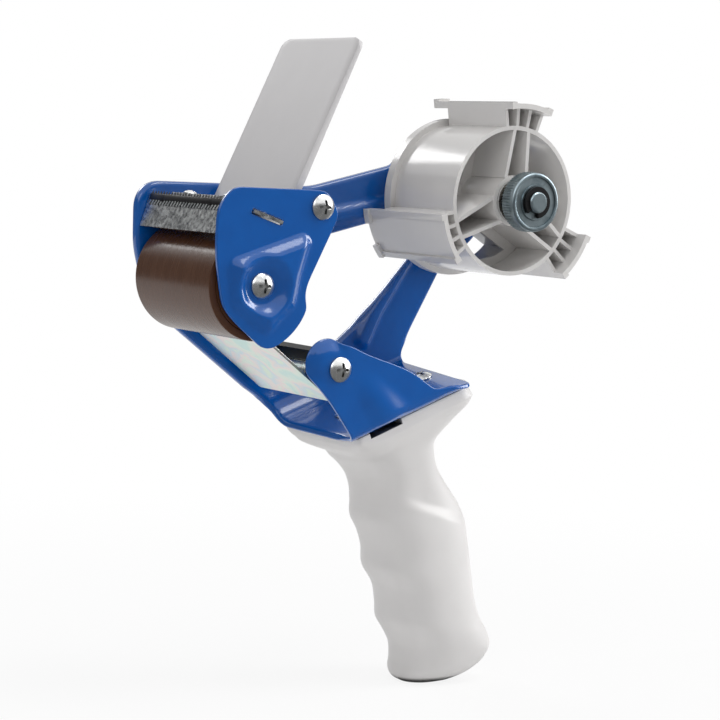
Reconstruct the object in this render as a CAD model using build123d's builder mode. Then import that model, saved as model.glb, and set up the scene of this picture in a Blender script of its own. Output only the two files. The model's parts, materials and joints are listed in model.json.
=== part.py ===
# Hand-held packing tape dispenser for 50 mm tape.
# Millimetres. The origin is on the axis of the tape core at the middle of the tape.
# -X is forward, towards the blade. +Y is the closed side of the frame. +Z is up.

import os
from math import atan2, copysign, cos, degrees, hypot, pi, radians, sin, tan

from build123d import *

os.makedirs("parts", exist_ok=True)

# Driving sizes

tape_width = 50.0              # the head's pieces are made to it
core_bore_d = 76.2
play = 0.05                    # radial running clearance of a shaft in its bore
seat_gap = 0.3                 # gap between pieces of different bodies
touch_gap = 0.1                # gap between a rod and the sheet it passes through

# Frame sheet
sheet = 1.5
half_gap = tape_width / 2 + 3.0  # from the middle to the inner face of either cheek
flange_depth = 3.0             # the turned edge of the far wall
edge_round = 1.9
hub_boss_r = 17.0              # wall round the shaft

# Head, places as x and z
roller_at = (-118.0, -34.3)
roller_r = 20.0
roller_sleeve_wall = 3.0
roller_length = tape_width + 3.0
roller_end_wall = 3.0
spacer_at = (-94.2, -5.6)
pivot_at = (-82.8, -64.1)
rod_r = 4.0
screw_head_r = 4.6
screw_head_h = 2.5
screw_rim = 0.7                # straight part of the head, under its crown
cross_length = 5.0
cross_width = 1.0
cross_depth = 1.1
screw_shank_r = 2.0
screw_depth = 12.0
plateau_height = 3.0
recess_flat_r = 7.0
recess_wide_r = 10.5
rib_width = 7.0                # pressed stiffening ribs of the leg and the arm
rib_height = 1.2
leg_rib = [(-14.0, -24.0), (-28.0, -46.0), (-33.5, -58.0)]
arm_rib = [(-22.0, -4.5), (-52.0, -10.5), (-76.0, -11.5)]

# Base plate under the frame and on the handle
base_front = (-69.5, -88.4)
base_pitch = 21.4
base_length = 59.0
base_skew = 6.5                # the near rear corner lies further forward
base_lip = 2.0
base_corner_r = 5.0
leg_foot = (1.3, 3.3)           # behind the base plate's end and above its top
ear_length = 36.0             # along the base plate
lip_length = 47.0
bulge_height = 2.4             # of the ear's foot, pressed outwards
bulge = [(-69.0, -86.6), (-52.0, -80.0), (-57.5, -70.5), (-66.0, -76.5)]
bulge_corner_r = 3.0

# Blade holder, its slot and what it carries
slot_at = (-117.2, -9.9)
slot_pitch = 17.0
holder_sheet = 1.2
slot_length = 13.0
slot_height = 2.0
holder_reach = 16.5            # from the slot's middle to the front leg
holder_drop = 12.5
holder_tail = 12.0
tab_out = 0.6                  # the tab stands out of the cheek by this
blade_height = 5.6
blade_sheet = 0.6
tooth_pitch = 2.0
tooth_depth = 1.4
blade_length = tape_width + 2.0
blade_over = 1.9               # the teeth stand above the holder's bend
rivet_r = 1.4
rivet_spacing = 34.0
clamp_screw_spacing = 28.0
clamp_screw_head_r = 3.0
clamp_screw_head_h = 2.2
clamp_screw_shank_r = 1.5
clamp_screw_x = -7.5           # along the holder from the slot's middle
clamp_bar_sheet = 1.2
clamp_bar_width = 8.0

# Flexible flap
flap_width = tape_width + 2.0
flap_sheet = 3.0               # at the bend
flap_tip_sheet = 1.9
flap_lean = 23.9
flap_bend_at = (-104.8, -4.5)  # the flap bends about this line above its clamped foot
flap_height = 66.0
flap_corner_r = 4.0
flap_foot_sheet = 1.4
flap_foot_front = -12.5        # along the holder from the slot's middle

# Tape plate on the pivot rod
plate_sheet = 1.0
plate_width = tape_width
plate_pitch = 36.1
plate_offset = 9.5             # from the rod's axis to the plate's front face
plate_below = 7.9              # along the plate, down from the rod's foot point
plate_above = 28.8             # and up, to the roller
ear_r = 7.0
ear_reach = 9.0
spring_wire_r = 0.4
spring_turns = 2
spring_leg = 6.0

# Hold-back strip on the pivot rod
hold_back_width = tape_width - 4.0
hold_back_top = 5.9            # above the rod's axis
hold_back_front = 5.7          # before it
hold_back_skirt = 1.9          # the front wall ends this far above the axis
hold_back_rear = 5.8
hold_back_below = 3.0
hold_back_chamfer = 3.5
hold_back_clear = 30.0         # wide enough to cut away all that lies below

# Hub
ring_outer_r = 28.8
ring_wall = 1.6
ring_front = -20.0
flange_r = 31.0
flange_front = 18.0
hub_rear = 22.0
web_front = 1.0
web_sheet = 1.6
window_tip_r = 11.8            # a window is a sector from here to its outer arc
window_outer_r = 23.9
window_angle = 79.4
hub_boss_outer_r = 9.8
hub_boss_front = -20.5
shaft_r = 4.0
spoke_sheet = 1.5
spoke_spread_in = 5.0          # half the distance between a pair's spokes at the boss
spoke_spread_out = 3.3         # and at the ring
arm_count = 3
first_arm = 85.3               # degrees from +X towards +Z
pad_angle = 31.0
pad_wall = 1.9
pad_lip = 0.8
pad_lip_width = 2.4
pad_near = -tape_width / 2
pad_far = tape_width / 2 + 0.5
pad_rib_sheet = 1.4
pad_rib_pitch = 9.6            # degrees
pad_rib_count = 4
pad_rib_rear = 16.6
pad_hook = 0.8                 # lugs that stop the core, at the far corners of a pad
pad_hook_width = 5.5
pad_hook_depth = 3.0

# Shaft and brake
shaft_flange_r = 9.5
shaft_flange_sheet = 2.2
rear_washer_sheet = 0.5
boss_raise = 3.0               # of the far wall round the shaft
boss_top_r = 12.0
shaft_tail = 2.0               # past the nut
washer_sheet = 1.0
washer_r = 8.4
brake_gap = 0.2
brake_spring_length = 4.6
brake_spring_wire_r = 0.55
brake_spring_r = 6.6
brake_spring_turns = 2
nut_r = 11.4
nut_length = 6.6
nut_dish_r = 9.6
nut_dish_depth = 0.5
nut_bevel = 0.8
knurl_length = 4.2
knurl_count = 64
knurl_depth = 0.4
clip_r = 6.0
clip_sheet = 0.9
clip_groove_r = 3.0
clip_mouth = 50.0              # degrees
clip_turn = 250.0
shaft_point = 0.9
shaft_nut_flat = 13.0
shaft_nut_length = 6.0

# Handle, its sections as front x and z, rear x and z, half width and squareness
collar_height = 5.0
collar_front = -1.7            # from the base plate's front end
collar_length = 58.3
collar_width = 50.0
collar_front_r = 2.5
collar_rear_r = 9.0
collar_edge_r = 0.8
collar_sections = [            # along the base plate, and down from it, front and rear
    (-1.5, -6.5, 56.4, -6.5, 25.0, 9.0),
    (-0.9, -8.6, 55.4, -9.2, 24.4, 6.5),
    (1.3, -10.9, 52.8, -11.8, 22.9, 4.6),
    (4.4, -13.6, 49.0, -14.8, 21.2, 3.5),
]
grip_sections = [
    (-58.2, -101.9, -24.0, -91.4, 20.1, 3.0),
    (-54.9, -104.9, -23.0, -98.0, 19.0, 2.7),
    (-52.5, -108.4, -19.8, -103.9, 17.9, 2.45),
    (-51.3, -113.1, -14.1, -110.5, 17.2, 2.3),
    (-51.0, -118.4, -8.0, -117.3, 16.9, 2.3),
    (-50.8, -124.0, -3.6, -124.0, 16.9, 2.3),
    (-47.1, -130.0, -2.1, -130.0, 17.1, 2.3),
    (-44.5, -136.5, -0.7, -136.5, 17.3, 2.3),
    (-43.4, -144.0, 0.8, -144.0, 17.4, 2.3),
    (-38.0, -151.5, 2.2, -151.5, 17.4, 2.3),
    (-36.0, -159.0, 4.1, -159.0, 17.6, 2.3),
    (-35.3, -165.0, 7.0, -165.0, 17.6, 2.3),
    (-31.8, -170.0, 10.5, -170.0, 17.5, 2.3),
    (-28.6, -175.5, 12.7, -175.5, 17.0, 2.3),
    (-28.1, -181.0, 10.2, -181.0, 15.8, 2.3),
    (-28.6, -185.5, 3.6, -185.5, 13.6, 2.4),
    (-27.6, -188.4, -3.4, -188.6, 10.0, 2.4),
    (-25.0, -189.9, -8.0, -189.9, 6.5, 2.2),
]
section_points = 28
notch_length = 15.0
notch_depth = 3.0
notch_width = 6.0
notch_at = 9.5                 # along the base plate from its front end
handle_screw_at = (12.0, 48.5)  # along the base plate from its front end
handle_screw_r = 2.2
handle_screw_head_r = 4.5
handle_screw_head_h = 2.4
handle_screw_length = 12.0

# Planes that several pieces share

far_outer_plane = Plane.XZ.offset(-half_gap - sheet)

pitch = radians(base_pitch)
base_plane = Plane(
    origin=(base_front[0], 0, base_front[1]),
    x_dir=(cos(pitch), 0, sin(pitch)),
    z_dir=(-sin(pitch), 0, cos(pitch)),
)
slope = radians(slot_pitch)
holder_plane = Plane(
    origin=(slot_at[0], 0, slot_at[1]),
    x_dir=(cos(slope), 0, -sin(slope)),
    z_dir=(sin(slope), 0, cos(slope)),
)


def finish(piece, label):
    """Name a finished piece and write it."""
    piece.part.label = label
    export_step(piece.part, f"parts/{label}.step")


def rod(centre, radius, y_low, y_high, mode=Mode.ADD):
    """A round bar, or a hole, along Y between two heights."""
    with BuildSketch(Plane.XZ.offset(-y_low)) as section:
        with Locations(centre):
            Circle(radius)
    extrude(section.sketch, amount=y_low - y_high, mode=mode)


def slab(profile, y_low, y_high, mode=Mode.ADD, taper=0.0):
    """A profile in x and z, carried along Y from the first height to the second."""
    grow = 1 if y_high < y_low else -1
    with BuildSketch(Plane.XZ.offset(-y_low)) as section:
        add(profile)
    extrude(section.sketch, amount=grow * abs(y_high - y_low), taper=taper, mode=mode)


# Outlines, shared by the two sides of the head

def near_cheek_outline():
    """The near head cheek: level top, sloping front, pointed chin and a notched rear edge."""
    with BuildSketch() as outline:
        with BuildLine():
            top = Line((-98.6, 0.4), (-128.5, 0.2))
            nose = Spline(top @ 1, (-134.6, -3.2), (-137.6, -11.5), tangents=((-1, 0), (0.02, -1)))
            front = Spline(nose @ 1, (-137.3, -23.0), (-134.4, -39.0), tangents=((0, -1), (0.22, -1)))
            chin = Spline(front @ 1, (-130.4, -45.4), (-118.2, -55.2),
                          tangents=((0.25, -1), (0.78, -0.62)))
            tip = ThreePointArc(chin @ 1, (-115.0, -56.6), (-111.4, -56.1))
            hook = ThreePointArc(tip @ 1, (-103.7, -50.7), (-98.3, -42.1))
            waist = Spline(hook @ 1, (-99.3, -37.4), (-97.6, -31.0),
                           tangents=((-0.3, 1), (0.42, 0.9)))
            back = Line(waist @ 1, (-88.9, -13.0))
            Spline(back @ 1, (-87.2, -7.2), (-90.8, -1.9), top @ 0, tangents=((0.42, 0.9), (-1, 0)))
        make_face()
    return outline.sketch_local


def plateau_outline():
    """The raised field of the cheek, from the crease under the slot to the chin."""
    with BuildSketch() as outline:
        with BuildLine():
            FilletPolyline((-131.9, -25.6), (-96.6, -13.4), (-101.8, -31.0), (-103.4, -41.0),
                           (-114.6, -52.2), (-130.2, -41.5), radius=4.5, close=True)
        make_face()
    return outline.sketch_local


def ear_outline():
    """The near ear of the base: a round lobe on the pivot, widening to a low lip behind."""
    toe = base_plane.from_local_coords(Vector(0, 0, -sheet))
    heel = base_plane.from_local_coords(Vector(lip_length, 0, -sheet))
    lip_end = base_plane.from_local_coords(Vector(lip_length, 0, base_lip))
    lip_start = base_plane.from_local_coords(Vector(ear_length, 0, base_lip + 1))
    with BuildSketch() as outline:
        with BuildLine():
            lobe = ThreePointArc((-82.4, -54.6), (-92.2, -55.4), (-95.2, -64.4))
            front = Spline(lobe @ 1, (-89.6, -72.4), (-76.2, -88.4),
                           tangents=((0.2, -1), (0.6, -0.8)))
            foot = Line(front @ 1, (toe.X, toe.Z))
            sole = Line(foot @ 1, (heel.X, heel.Z))
            lip = Line(sole @ 1, (lip_end.X, lip_end.Z))
            low = Line(lip @ 1, (lip_start.X, lip_start.Z))
            Spline(low @ 1, (-46.4, -67.1), (-56.8, -62.7), (-72.3, -57.9), lobe @ 0,
                   tangents=((-1, 0.4), (-0.98, 0.1)))
        make_face()
    return outline.sketch_local


def far_wall_outline():
    """Far cheek, arm, boss, leg, base edge and lower front arm, round a three-sided window."""
    toe = base_plane.from_local_coords(Vector(0, 0, -sheet))
    heel = base_plane.from_local_coords(Vector(base_length, 0, -sheet))
    foot = base_plane.from_local_coords(Vector(base_length + leg_foot[0], 0, leg_foot[1]))
    corners = [
        (-61.0, 1.3, 25.0), (-138.4, 0.3, 9.5), (-137.5, -24.0, 30.0), (-131.4, -45.2, 12.0),
        (toe.X, toe.Z, 2.5), (heel.X, heel.Z, 1.5), (foot.X, foot.Z, 9.0), (33.8, 26.5, hub_boss_r),
    ]
    window = [
        (-12.5, -6.9, 4.0), (-66.5, -21.5, 8.0), (-84.5, -20.5, 5.0), (-97.5, -47.5, 4.0),
        (-92.0, -54.6, 4.0), (-81.0, -54.0, 6.0), (-67.0, -61.5, 6.0), (-47.5, -61.0, 6.0),
        (-38.0, -53.0, 8.0), (-10.5, -21.5, 4.0),
    ]
    with BuildSketch() as outline:
        with BuildLine():
            FilletPolyline(*[(x, z) for x, z, _ in corners], radius=[r for _, _, r in corners],
                           close=True)
        make_face()
        with BuildLine():
            FilletPolyline(*[(x, z) for x, z, _ in window], radius=[r for _, _, r in window],
                           close=True)
        make_face(mode=Mode.SUBTRACT)
    return outline.sketch_local


# Frame

far_wall = far_wall_outline()
near_cheek = near_cheek_outline()
plateau = plateau_outline()
ear = ear_outline()

holder_slot_length = slot_length + 2 * touch_gap
recess_slope = degrees(atan2(recess_wide_r - recess_flat_r, plateau_height))


def slot_through(y_low, y_high):
    """The slot in a cheek that takes the blade holder's tab."""
    with BuildSketch(holder_plane) as slot:
        with Locations((0, (y_low + y_high) / 2)):
            Rectangle(holder_slot_length, abs(y_high - y_low))
    extrude(slot.sketch, amount=slot_height / 2, both=True, mode=Mode.SUBTRACT)


def press_plateau(inner_y, side):
    """Raise the plateau out of a cheek, with the dish round the roller's screw."""
    outer_y = inner_y + side * sheet
    slab(plateau, outer_y, outer_y + side * plateau_height, taper=45)
    with BuildSketch() as hollow:
        add(plateau)
        offset(amount=-sheet / 2, mode=Mode.REPLACE)
    slab(hollow.sketch_local, inner_y, inner_y + side * plateau_height, taper=45, mode=Mode.SUBTRACT)
    with BuildSketch() as dish_wall:
        with Locations(roller_at):
            Circle(recess_wide_r + sheet)
    slab(dish_wall.sketch_local, inner_y + side * plateau_height, inner_y, taper=recess_slope)
    with BuildSketch() as dish:
        with Locations(roller_at):
            Circle(recess_wide_r)
    slab(dish.sketch_local, outer_y + side * plateau_height, outer_y, taper=recess_slope,
         mode=Mode.SUBTRACT)
    rod(roller_at, screw_shank_r + touch_gap, min(inner_y, outer_y), max(inner_y, outer_y),
        mode=Mode.SUBTRACT)


def press(profile, y_from, height, taper=45):
    """Press a field of the far wall or an ear out towards the viewer, one sheet thick."""
    slab(profile, y_from, y_from - height, taper=taper)
    with BuildSketch() as hollow:
        add(profile)
        offset(amount=-sheet / 2, mode=Mode.REPLACE)
    slab(hollow.sketch_local, y_from + sheet, y_from + sheet - height, taper=taper,
         mode=Mode.SUBTRACT)


def rib_outline(points):
    """A round-ended rib along a bent line."""
    with BuildSketch() as outline:
        with BuildLine() as path:
            Polyline(*points)
        trace(path.line, line_width=rib_width)
    return outline.sketch_local


def disc(radius):
    """A round field about the shaft."""
    with BuildSketch() as outline:
        Circle(radius)
    return outline.sketch_local


def polygon(points, corner_r):
    """A field with straight sides and round corners."""
    with BuildSketch() as outline:
        with BuildLine():
            FilletPolyline(*points, radius=corner_r, close=True)
        make_face()
    return outline.sketch_local


with BuildPart() as main_frame:
    # Far wall, with its edges turned away from the tape
    slab(far_wall, half_gap, half_gap + flange_depth)
    with BuildSketch(far_outer_plane):
        add(far_wall)
        offset(amount=-sheet, mode=Mode.REPLACE)
    extrude(amount=sheet - flange_depth, mode=Mode.SUBTRACT)
    fillet(main_frame.faces().filter_by(Axis.Y).sort_by(Axis.Y)[0].edges(), edge_round)
    # Base plate, folded in under the tape
    near_edge = half_gap + sheet / 2
    with BuildSketch(base_plane) as base_sheet:
        with BuildLine():
            Polyline((0, -near_edge), (0, near_edge), (base_length, near_edge),
                     (base_length - base_skew, -near_edge), close=True)
        make_face()
        fillet(base_sheet.vertices().sort_by(Axis.Y)[:2].sort_by(Axis.X)[1], base_corner_r)
    extrude(base_sheet.sketch, amount=-sheet)
    # Near ear with its pressed foot, folded up from the base plate
    slab(ear, -half_gap, -half_gap - sheet)
    press(polygon(bulge, bulge_corner_r), -half_gap - sheet, bulge_height)
    # Raised field of the far cheek, boss for the shaft, and the ribs of the leg and the arm
    press_plateau(half_gap, 1)
    press(disc(boss_top_r + boss_raise), half_gap, boss_raise)
    press(rib_outline(leg_rib), half_gap, rib_height)
    press(rib_outline(arm_rib), half_gap, rib_height)
    # Holes
    slot_through(half_gap, half_gap + 2 * sheet)
    for hole_at, hole_r in (
        (spacer_at, screw_shank_r), (pivot_at, screw_shank_r), (roller_at, screw_shank_r),
        ((0, 0), shaft_r),
    ):
        rod(hole_at, hole_r + touch_gap, half_gap - boss_raise, half_gap + sheet, mode=Mode.SUBTRACT)
    rod(pivot_at, screw_shank_r + touch_gap, -half_gap - sheet, -half_gap, mode=Mode.SUBTRACT)
    with BuildSketch(base_plane) as screw_holes:
        with Locations(*[(along, 0) for along in handle_screw_at]):
            Circle(handle_screw_r + touch_gap)
    extrude(screw_holes.sketch, amount=-sheet, mode=Mode.SUBTRACT)

finish(main_frame, "main_frame")

with BuildPart() as head_cheek:
    slab(near_cheek, -half_gap, -half_gap - sheet)
    press_plateau(-half_gap, -1)
    slot_through(-half_gap - 2 * sheet, -half_gap)
    rod(spacer_at, screw_shank_r + touch_gap, -half_gap - sheet, -half_gap, mode=Mode.SUBTRACT)

finish(head_cheek, "head_cheek")


# Rods between the cheeks and their screws

for rod_name, rod_at in (("spacer_rod", spacer_at), ("roller_axle", roller_at), ("pivot_rod", pivot_at)):
    with BuildPart() as bar:
        rod(rod_at, rod_r, -half_gap, half_gap)
        rod(rod_at, screw_shank_r + play, -half_gap, screw_depth - half_gap, mode=Mode.SUBTRACT)
        rod(rod_at, screw_shank_r + play, half_gap - screw_depth, half_gap, mode=Mode.SUBTRACT)
    finish(bar, rod_name)


def pan_profile(head_r, head_h, shank_r, shank_length):
    """Half section of a pan head screw, its seat at height 0 and its head upwards."""
    with BuildSketch() as outline:
        with BuildLine():
            crown = TangentArc((0, head_h), (head_r, screw_rim), tangent=(1, 0))
            Polyline(crown @ 1, (head_r, 0), (shank_r, 0), (shank_r, -shank_length),
                     (0, -shank_length), crown @ 0)
        make_face()
    return outline.sketch_local


def pan_screw(seat, out, across, head_r, head_h, shank_r, shank_length):
    """A pan head screw with a cross recess, its head standing out along a direction."""
    section_plane = Plane(origin=seat, x_dir=across, z_dir=across.cross(out))
    with BuildSketch(section_plane) as half:
        add(pan_profile(head_r, head_h, shank_r, shank_length))
    revolve(half.sketch, axis=Axis(seat, out))
    top_plane = Plane(origin=seat + out * head_h, x_dir=across, z_dir=out)
    with BuildSketch(top_plane) as cross:
        Rectangle(cross_length, cross_width)
        Rectangle(cross_width, cross_length)
    extrude(cross.sketch, amount=-cross_depth, mode=Mode.SUBTRACT)


with BuildPart() as pan_screws:
    for side in (-1, 1):
        for screw_at in (spacer_at, roller_at, pivot_at):
            pan_screw(Vector(screw_at[0], side * (half_gap + sheet), screw_at[1]),
                      Vector(0, side, 0), Vector(1, 0, 0),
                      screw_head_r, screw_head_h, screw_shank_r, screw_depth)

finish(pan_screws, "pan_screws")


# Roller

core_r = roller_r - roller_sleeve_wall

with BuildPart() as roller_sleeve:
    rod(roller_at, roller_r, -roller_length / 2, roller_length / 2)
    rod(roller_at, core_r, -roller_length / 2, roller_length / 2, mode=Mode.SUBTRACT)

finish(roller_sleeve, "roller_sleeve")

with BuildPart() as roller_core:
    rod(roller_at, core_r - play, -roller_length / 2, roller_length / 2)
    rod(roller_at, core_r, roller_end_wall - roller_length / 2, roller_length / 2 - roller_end_wall,
        mode=Mode.SUBTRACT)
    rod(roller_at, 2 * rod_r, -roller_length / 2, roller_length / 2)
    rod(roller_at, rod_r + play, -roller_length / 2, roller_length / 2, mode=Mode.SUBTRACT)

finish(roller_core, "roller_core")


# Blade holder, blade and flap

holder_side = Plane(origin=holder_plane.origin, x_dir=holder_plane.x_dir, z_dir=(0, -1, 0))
blade_plane = Plane(
    origin=holder_plane.from_local_coords(Vector(-holder_reach, 0, 0)),
    x_dir=(0, -1, 0),
    z_dir=-holder_plane.x_dir,
)
holder_top = holder_sheet / 2
foot_top = holder_top + flap_foot_sheet
bar_top = foot_top + clamp_bar_sheet
rivet_z = blade_over - blade_height / 2
rivet_places = [(-rivet_spacing / 2, rivet_z), (rivet_spacing / 2, rivet_z)]
clamp_places = [(clamp_screw_x, -clamp_screw_spacing / 2), (clamp_screw_x, clamp_screw_spacing / 2)]


def pierce(plane, places, radius, depth):
    """Round holes through a sheet, half of the depth to each side of a plane."""
    with BuildSketch(plane) as holes:
        with Locations(*places):
            Circle(radius)
    extrude(holes.sketch, amount=depth, both=True, mode=Mode.SUBTRACT)


with BuildPart() as blade_holder:
    with BuildSketch(holder_side) as bracket:
        with BuildLine():
            Polyline(
                (-holder_reach, holder_top - holder_drop), (-holder_reach, holder_top),
                (holder_tail, holder_top), (holder_tail, -holder_top),
                (holder_sheet - holder_reach, -holder_top),
                (holder_sheet - holder_reach, holder_top - holder_drop), close=True,
            )
        make_face()
    extrude(bracket.sketch, amount=half_gap - seat_gap, both=True)
    with BuildSketch(holder_side) as tab:
        Rectangle(slot_length, holder_sheet)
    extrude(tab.sketch, amount=half_gap + sheet + tab_out, both=True)
    pierce(holder_plane, clamp_places, clamp_screw_shank_r + touch_gap, holder_sheet)
    pierce(blade_plane, rivet_places, rivet_r + touch_gap, holder_sheet)

finish(blade_holder, "blade_holder")

with BuildPart() as blade:
    with BuildSketch(blade_plane) as strip:
        tooth_count = int(blade_length / tooth_pitch)
        left = -tooth_count * tooth_pitch / 2
        upper = []
        for tooth in range(tooth_count):
            upper.append((left + tooth * tooth_pitch, blade_over - tooth_depth))
            upper.append((left + (tooth + 0.5) * tooth_pitch, blade_over))
        upper.append((-left, blade_over - tooth_depth))
        lower = [(x, 2 * rivet_z - z) for x, z in reversed(upper)]
        with BuildLine():
            Polyline(*upper, *lower, close=True)
        make_face()
    extrude(strip.sketch, amount=blade_sheet)
    pierce(blade_plane, rivet_places, rivet_r + touch_gap, 2 * blade_sheet)

finish(blade, "blade")

with BuildPart() as blade_rivets:
    with BuildSketch(blade_plane.offset(blade_sheet)) as rivet_shanks:
        with Locations(*rivet_places):
            Circle(rivet_r)
    extrude(rivet_shanks.sketch, amount=-blade_sheet - holder_sheet)

finish(blade_rivets, "blade_rivets")

flap_rise = radians(flap_lean - slot_pitch)
bend = holder_plane.to_local_coords(Vector(flap_bend_at[0], 0, flap_bend_at[1]))
flap_half = flap_sheet / 2 / cos(flap_rise)
foot_end = bend.Z - flap_sheet / 2 - seat_gap

with BuildPart() as flap_foot:
    with BuildSketch(holder_side) as foot:
        with BuildLine():
            Polyline(
                (flap_foot_front, holder_top),
                (bend.X - (bend.Z - holder_top) * tan(flap_rise) + flap_half, holder_top),
                (bend.X - (bend.Z - foot_end) * tan(flap_rise) + flap_half, foot_end),
                (bend.X - (bend.Z - foot_end) * tan(flap_rise) - flap_half, foot_end),
                (bend.X - (bend.Z - foot_top) * tan(flap_rise) - flap_half, foot_top),
                (flap_foot_front, foot_top), close=True,
            )
        make_face()
    extrude(foot.sketch, amount=flap_width / 2, both=True)
    pierce(holder_plane, clamp_places, clamp_screw_shank_r + touch_gap, 2 * foot_top)

finish(flap_foot, "flap_foot")

lean = radians(flap_lean)
flap_plane = Plane(
    origin=(flap_bend_at[0], 0, flap_bend_at[1]), x_dir=(0, -1, 0), z_dir=(-cos(lean), 0, sin(lean))
)

with BuildPart() as wiper_flap:
    with BuildSketch(flap_plane) as blank:
        with Locations((0, flap_height / 2)):
            Rectangle(flap_width, flap_height)
        fillet(blank.vertices().group_by(Axis.Y)[-1], flap_corner_r)
    extrude(blank.sketch, amount=flap_sheet, both=True)
    with BuildSketch(Plane(origin=flap_plane.origin, x_dir=-flap_plane.z_dir, z_dir=(0, -1, 0))) as wedge:
        with BuildLine():
            Polyline((-flap_sheet / 2, 0), (flap_sheet / 2, 0), (flap_tip_sheet / 2, flap_height),
                     (-flap_tip_sheet / 2, flap_height), close=True)
        make_face()
    extrude(wedge.sketch, amount=flap_width, both=True, mode=Mode.INTERSECT)
    rod(flap_bend_at, flap_sheet / 2, -flap_width / 2, flap_width / 2)

finish(wiper_flap, "wiper_flap")

with BuildPart() as clamp_bar:
    with BuildSketch(holder_plane.offset(foot_top)) as bar_outline:
        with Locations((clamp_screw_x, 0)):
            SlotOverall(flap_width - clamp_bar_width / 2, clamp_bar_width, rotation=90)
    extrude(bar_outline.sketch, amount=clamp_bar_sheet)
    pierce(holder_plane, clamp_places, clamp_screw_shank_r + touch_gap, 2 * bar_top)

finish(clamp_bar, "clamp_bar")

with BuildPart() as clamp_screws:
    for x, y in clamp_places:
        pan_screw(holder_plane.from_local_coords(Vector(x, y, bar_top)), holder_plane.z_dir,
                  holder_plane.x_dir, clamp_screw_head_r, clamp_screw_head_h,
                  clamp_screw_shank_r, bar_top + holder_sheet)

finish(clamp_screws, "clamp_screws")


# Tape plate, its spring and the hold-back strip, all on the pivot rod

tilt = radians(plate_pitch)
plate_side = Plane(
    origin=(pivot_at[0], 0, pivot_at[1]), x_dir=(-cos(tilt), 0, sin(tilt)), z_dir=(0, -1, 0)
)

with BuildPart() as tape_plate:
    with BuildSketch(plate_side) as plate_edge:
        with Locations(((plate_above - plate_below) / 2, plate_offset - plate_sheet / 2)):
            Rectangle(plate_above + plate_below, plate_sheet)
    extrude(plate_edge.sketch, amount=plate_width / 2, both=True)
    for side in (-1, 1):
        with BuildSketch(plate_side.offset(side * plate_width / 2)) as plate_ear:
            Circle(ear_r)
            with Locations(((ear_reach - ear_r) / 2, plate_offset / 2)):
                Rectangle(ear_reach + ear_r, plate_offset)
            Circle(rod_r + play, mode=Mode.SUBTRACT)
        extrude(plate_ear.sketch, amount=-side * plate_sheet)

finish(tape_plate, "tape_plate")

spring_room = half_gap - plate_width / 2
spring_rise = spring_room - 2 * spring_wire_r - 2 * touch_gap

with BuildPart() as plate_spring:
    with BuildLine() as coil:
        Helix(spring_rise / spring_turns, spring_rise, rod_r + spring_wire_r + seat_gap,
              center=(pivot_at[0], touch_gap + spring_wire_r - half_gap, pivot_at[1]),
              direction=(0, 1, 0))
    for end, way in ((0, -1), (1, 1)):
        with BuildSketch(Plane(origin=coil.line @ end, z_dir=coil.line % end)) as wire:
            Circle(spring_wire_r)
        if end == 0:
            sweep(wire.sketch, path=coil.line)
        level = Vector((coil.line % end).X, 0, (coil.line % end).Z) * way
        extrude(wire.sketch, amount=spring_leg, dir=level)

finish(plate_spring, "plate_spring")

with BuildPart() as hold_back:
    with BuildSketch(Plane.XZ) as clip_section:
        with Locations(pivot_at):
            Circle(hold_back_front)
            with Locations(((hold_back_rear - hold_back_front) / 2,
                            (hold_back_top + hold_back_skirt) / 2)):
                Rectangle(hold_back_rear + hold_back_front, hold_back_top - hold_back_skirt)
            Circle(rod_r + play, mode=Mode.SUBTRACT)
            with Locations((-hold_back_front, hold_back_skirt - hold_back_clear / 2)):
                Rectangle(2 * hold_back_front, hold_back_clear, mode=Mode.SUBTRACT)
            with Locations((0, -hold_back_below - hold_back_clear / 2)):
                Rectangle(hold_back_clear, hold_back_clear, mode=Mode.SUBTRACT)
    extrude(clip_section.sketch, amount=hold_back_width / 2, both=True)
    with BuildSketch(Plane.YZ.offset(pivot_at[0])) as front_view:
        with Locations((0, pivot_at[1])):
            Rectangle(hold_back_width, 2 * hold_back_top)
        chamfer(front_view.vertices().group_by(Axis.Y)[-1], hold_back_chamfer)
    extrude(front_view.sketch, amount=2 * hold_back_rear, both=True, mode=Mode.INTERSECT)

finish(hold_back, "hold_back")


# Hub that carries the tape's core

def hub_plane(degrees_round):
    """A sketch plane across the hub whose first axis points along an arm."""
    turn = radians(degrees_round)
    return Plane(origin=(0, 0, 0), x_dir=(cos(turn), 0, sin(turn)), z_dir=(0, -1, 0))


def hub_bar(profile_plane, start, stop, thick, y_low, y_high):
    """A straight wall of the hub between two points of its arm's plane."""
    length = hypot(stop[0] - start[0], stop[1] - start[1])
    middle = ((start[0] + stop[0]) / 2, (start[1] + stop[1]) / 2)
    turn = degrees(atan2(stop[1] - start[1], stop[0] - start[0]))
    with BuildSketch(profile_plane.offset(-y_low)) as wall:
        with Locations(middle):
            Rectangle(length, thick, rotation=turn)
    extrude(wall.sketch, amount=y_low - y_high)


def arc_band(profile_plane, r_in, r_out, start_angle, arc, y_low, y_high, mode=Mode.ADD):
    """A piece of a round wall between two angles of its arm's plane."""
    with BuildSketch(profile_plane.offset(-y_low)) as band:
        with BuildLine():
            outer = CenterArc((0, 0), r_out, start_angle, arc)
            inner = CenterArc((0, 0), r_in, start_angle, arc)
            Line(outer @ 0, inner @ 0)
            Line(outer @ 1, inner @ 1)
        make_face()
    extrude(band.sketch, amount=y_low - y_high, mode=mode)


ring_inner_r = ring_outer_r - ring_wall
pad_outer_r = core_bore_d / 2 - pad_lip
pad_inner_r = pad_outer_r - pad_wall
wall_overlap = ring_wall / 2

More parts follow.
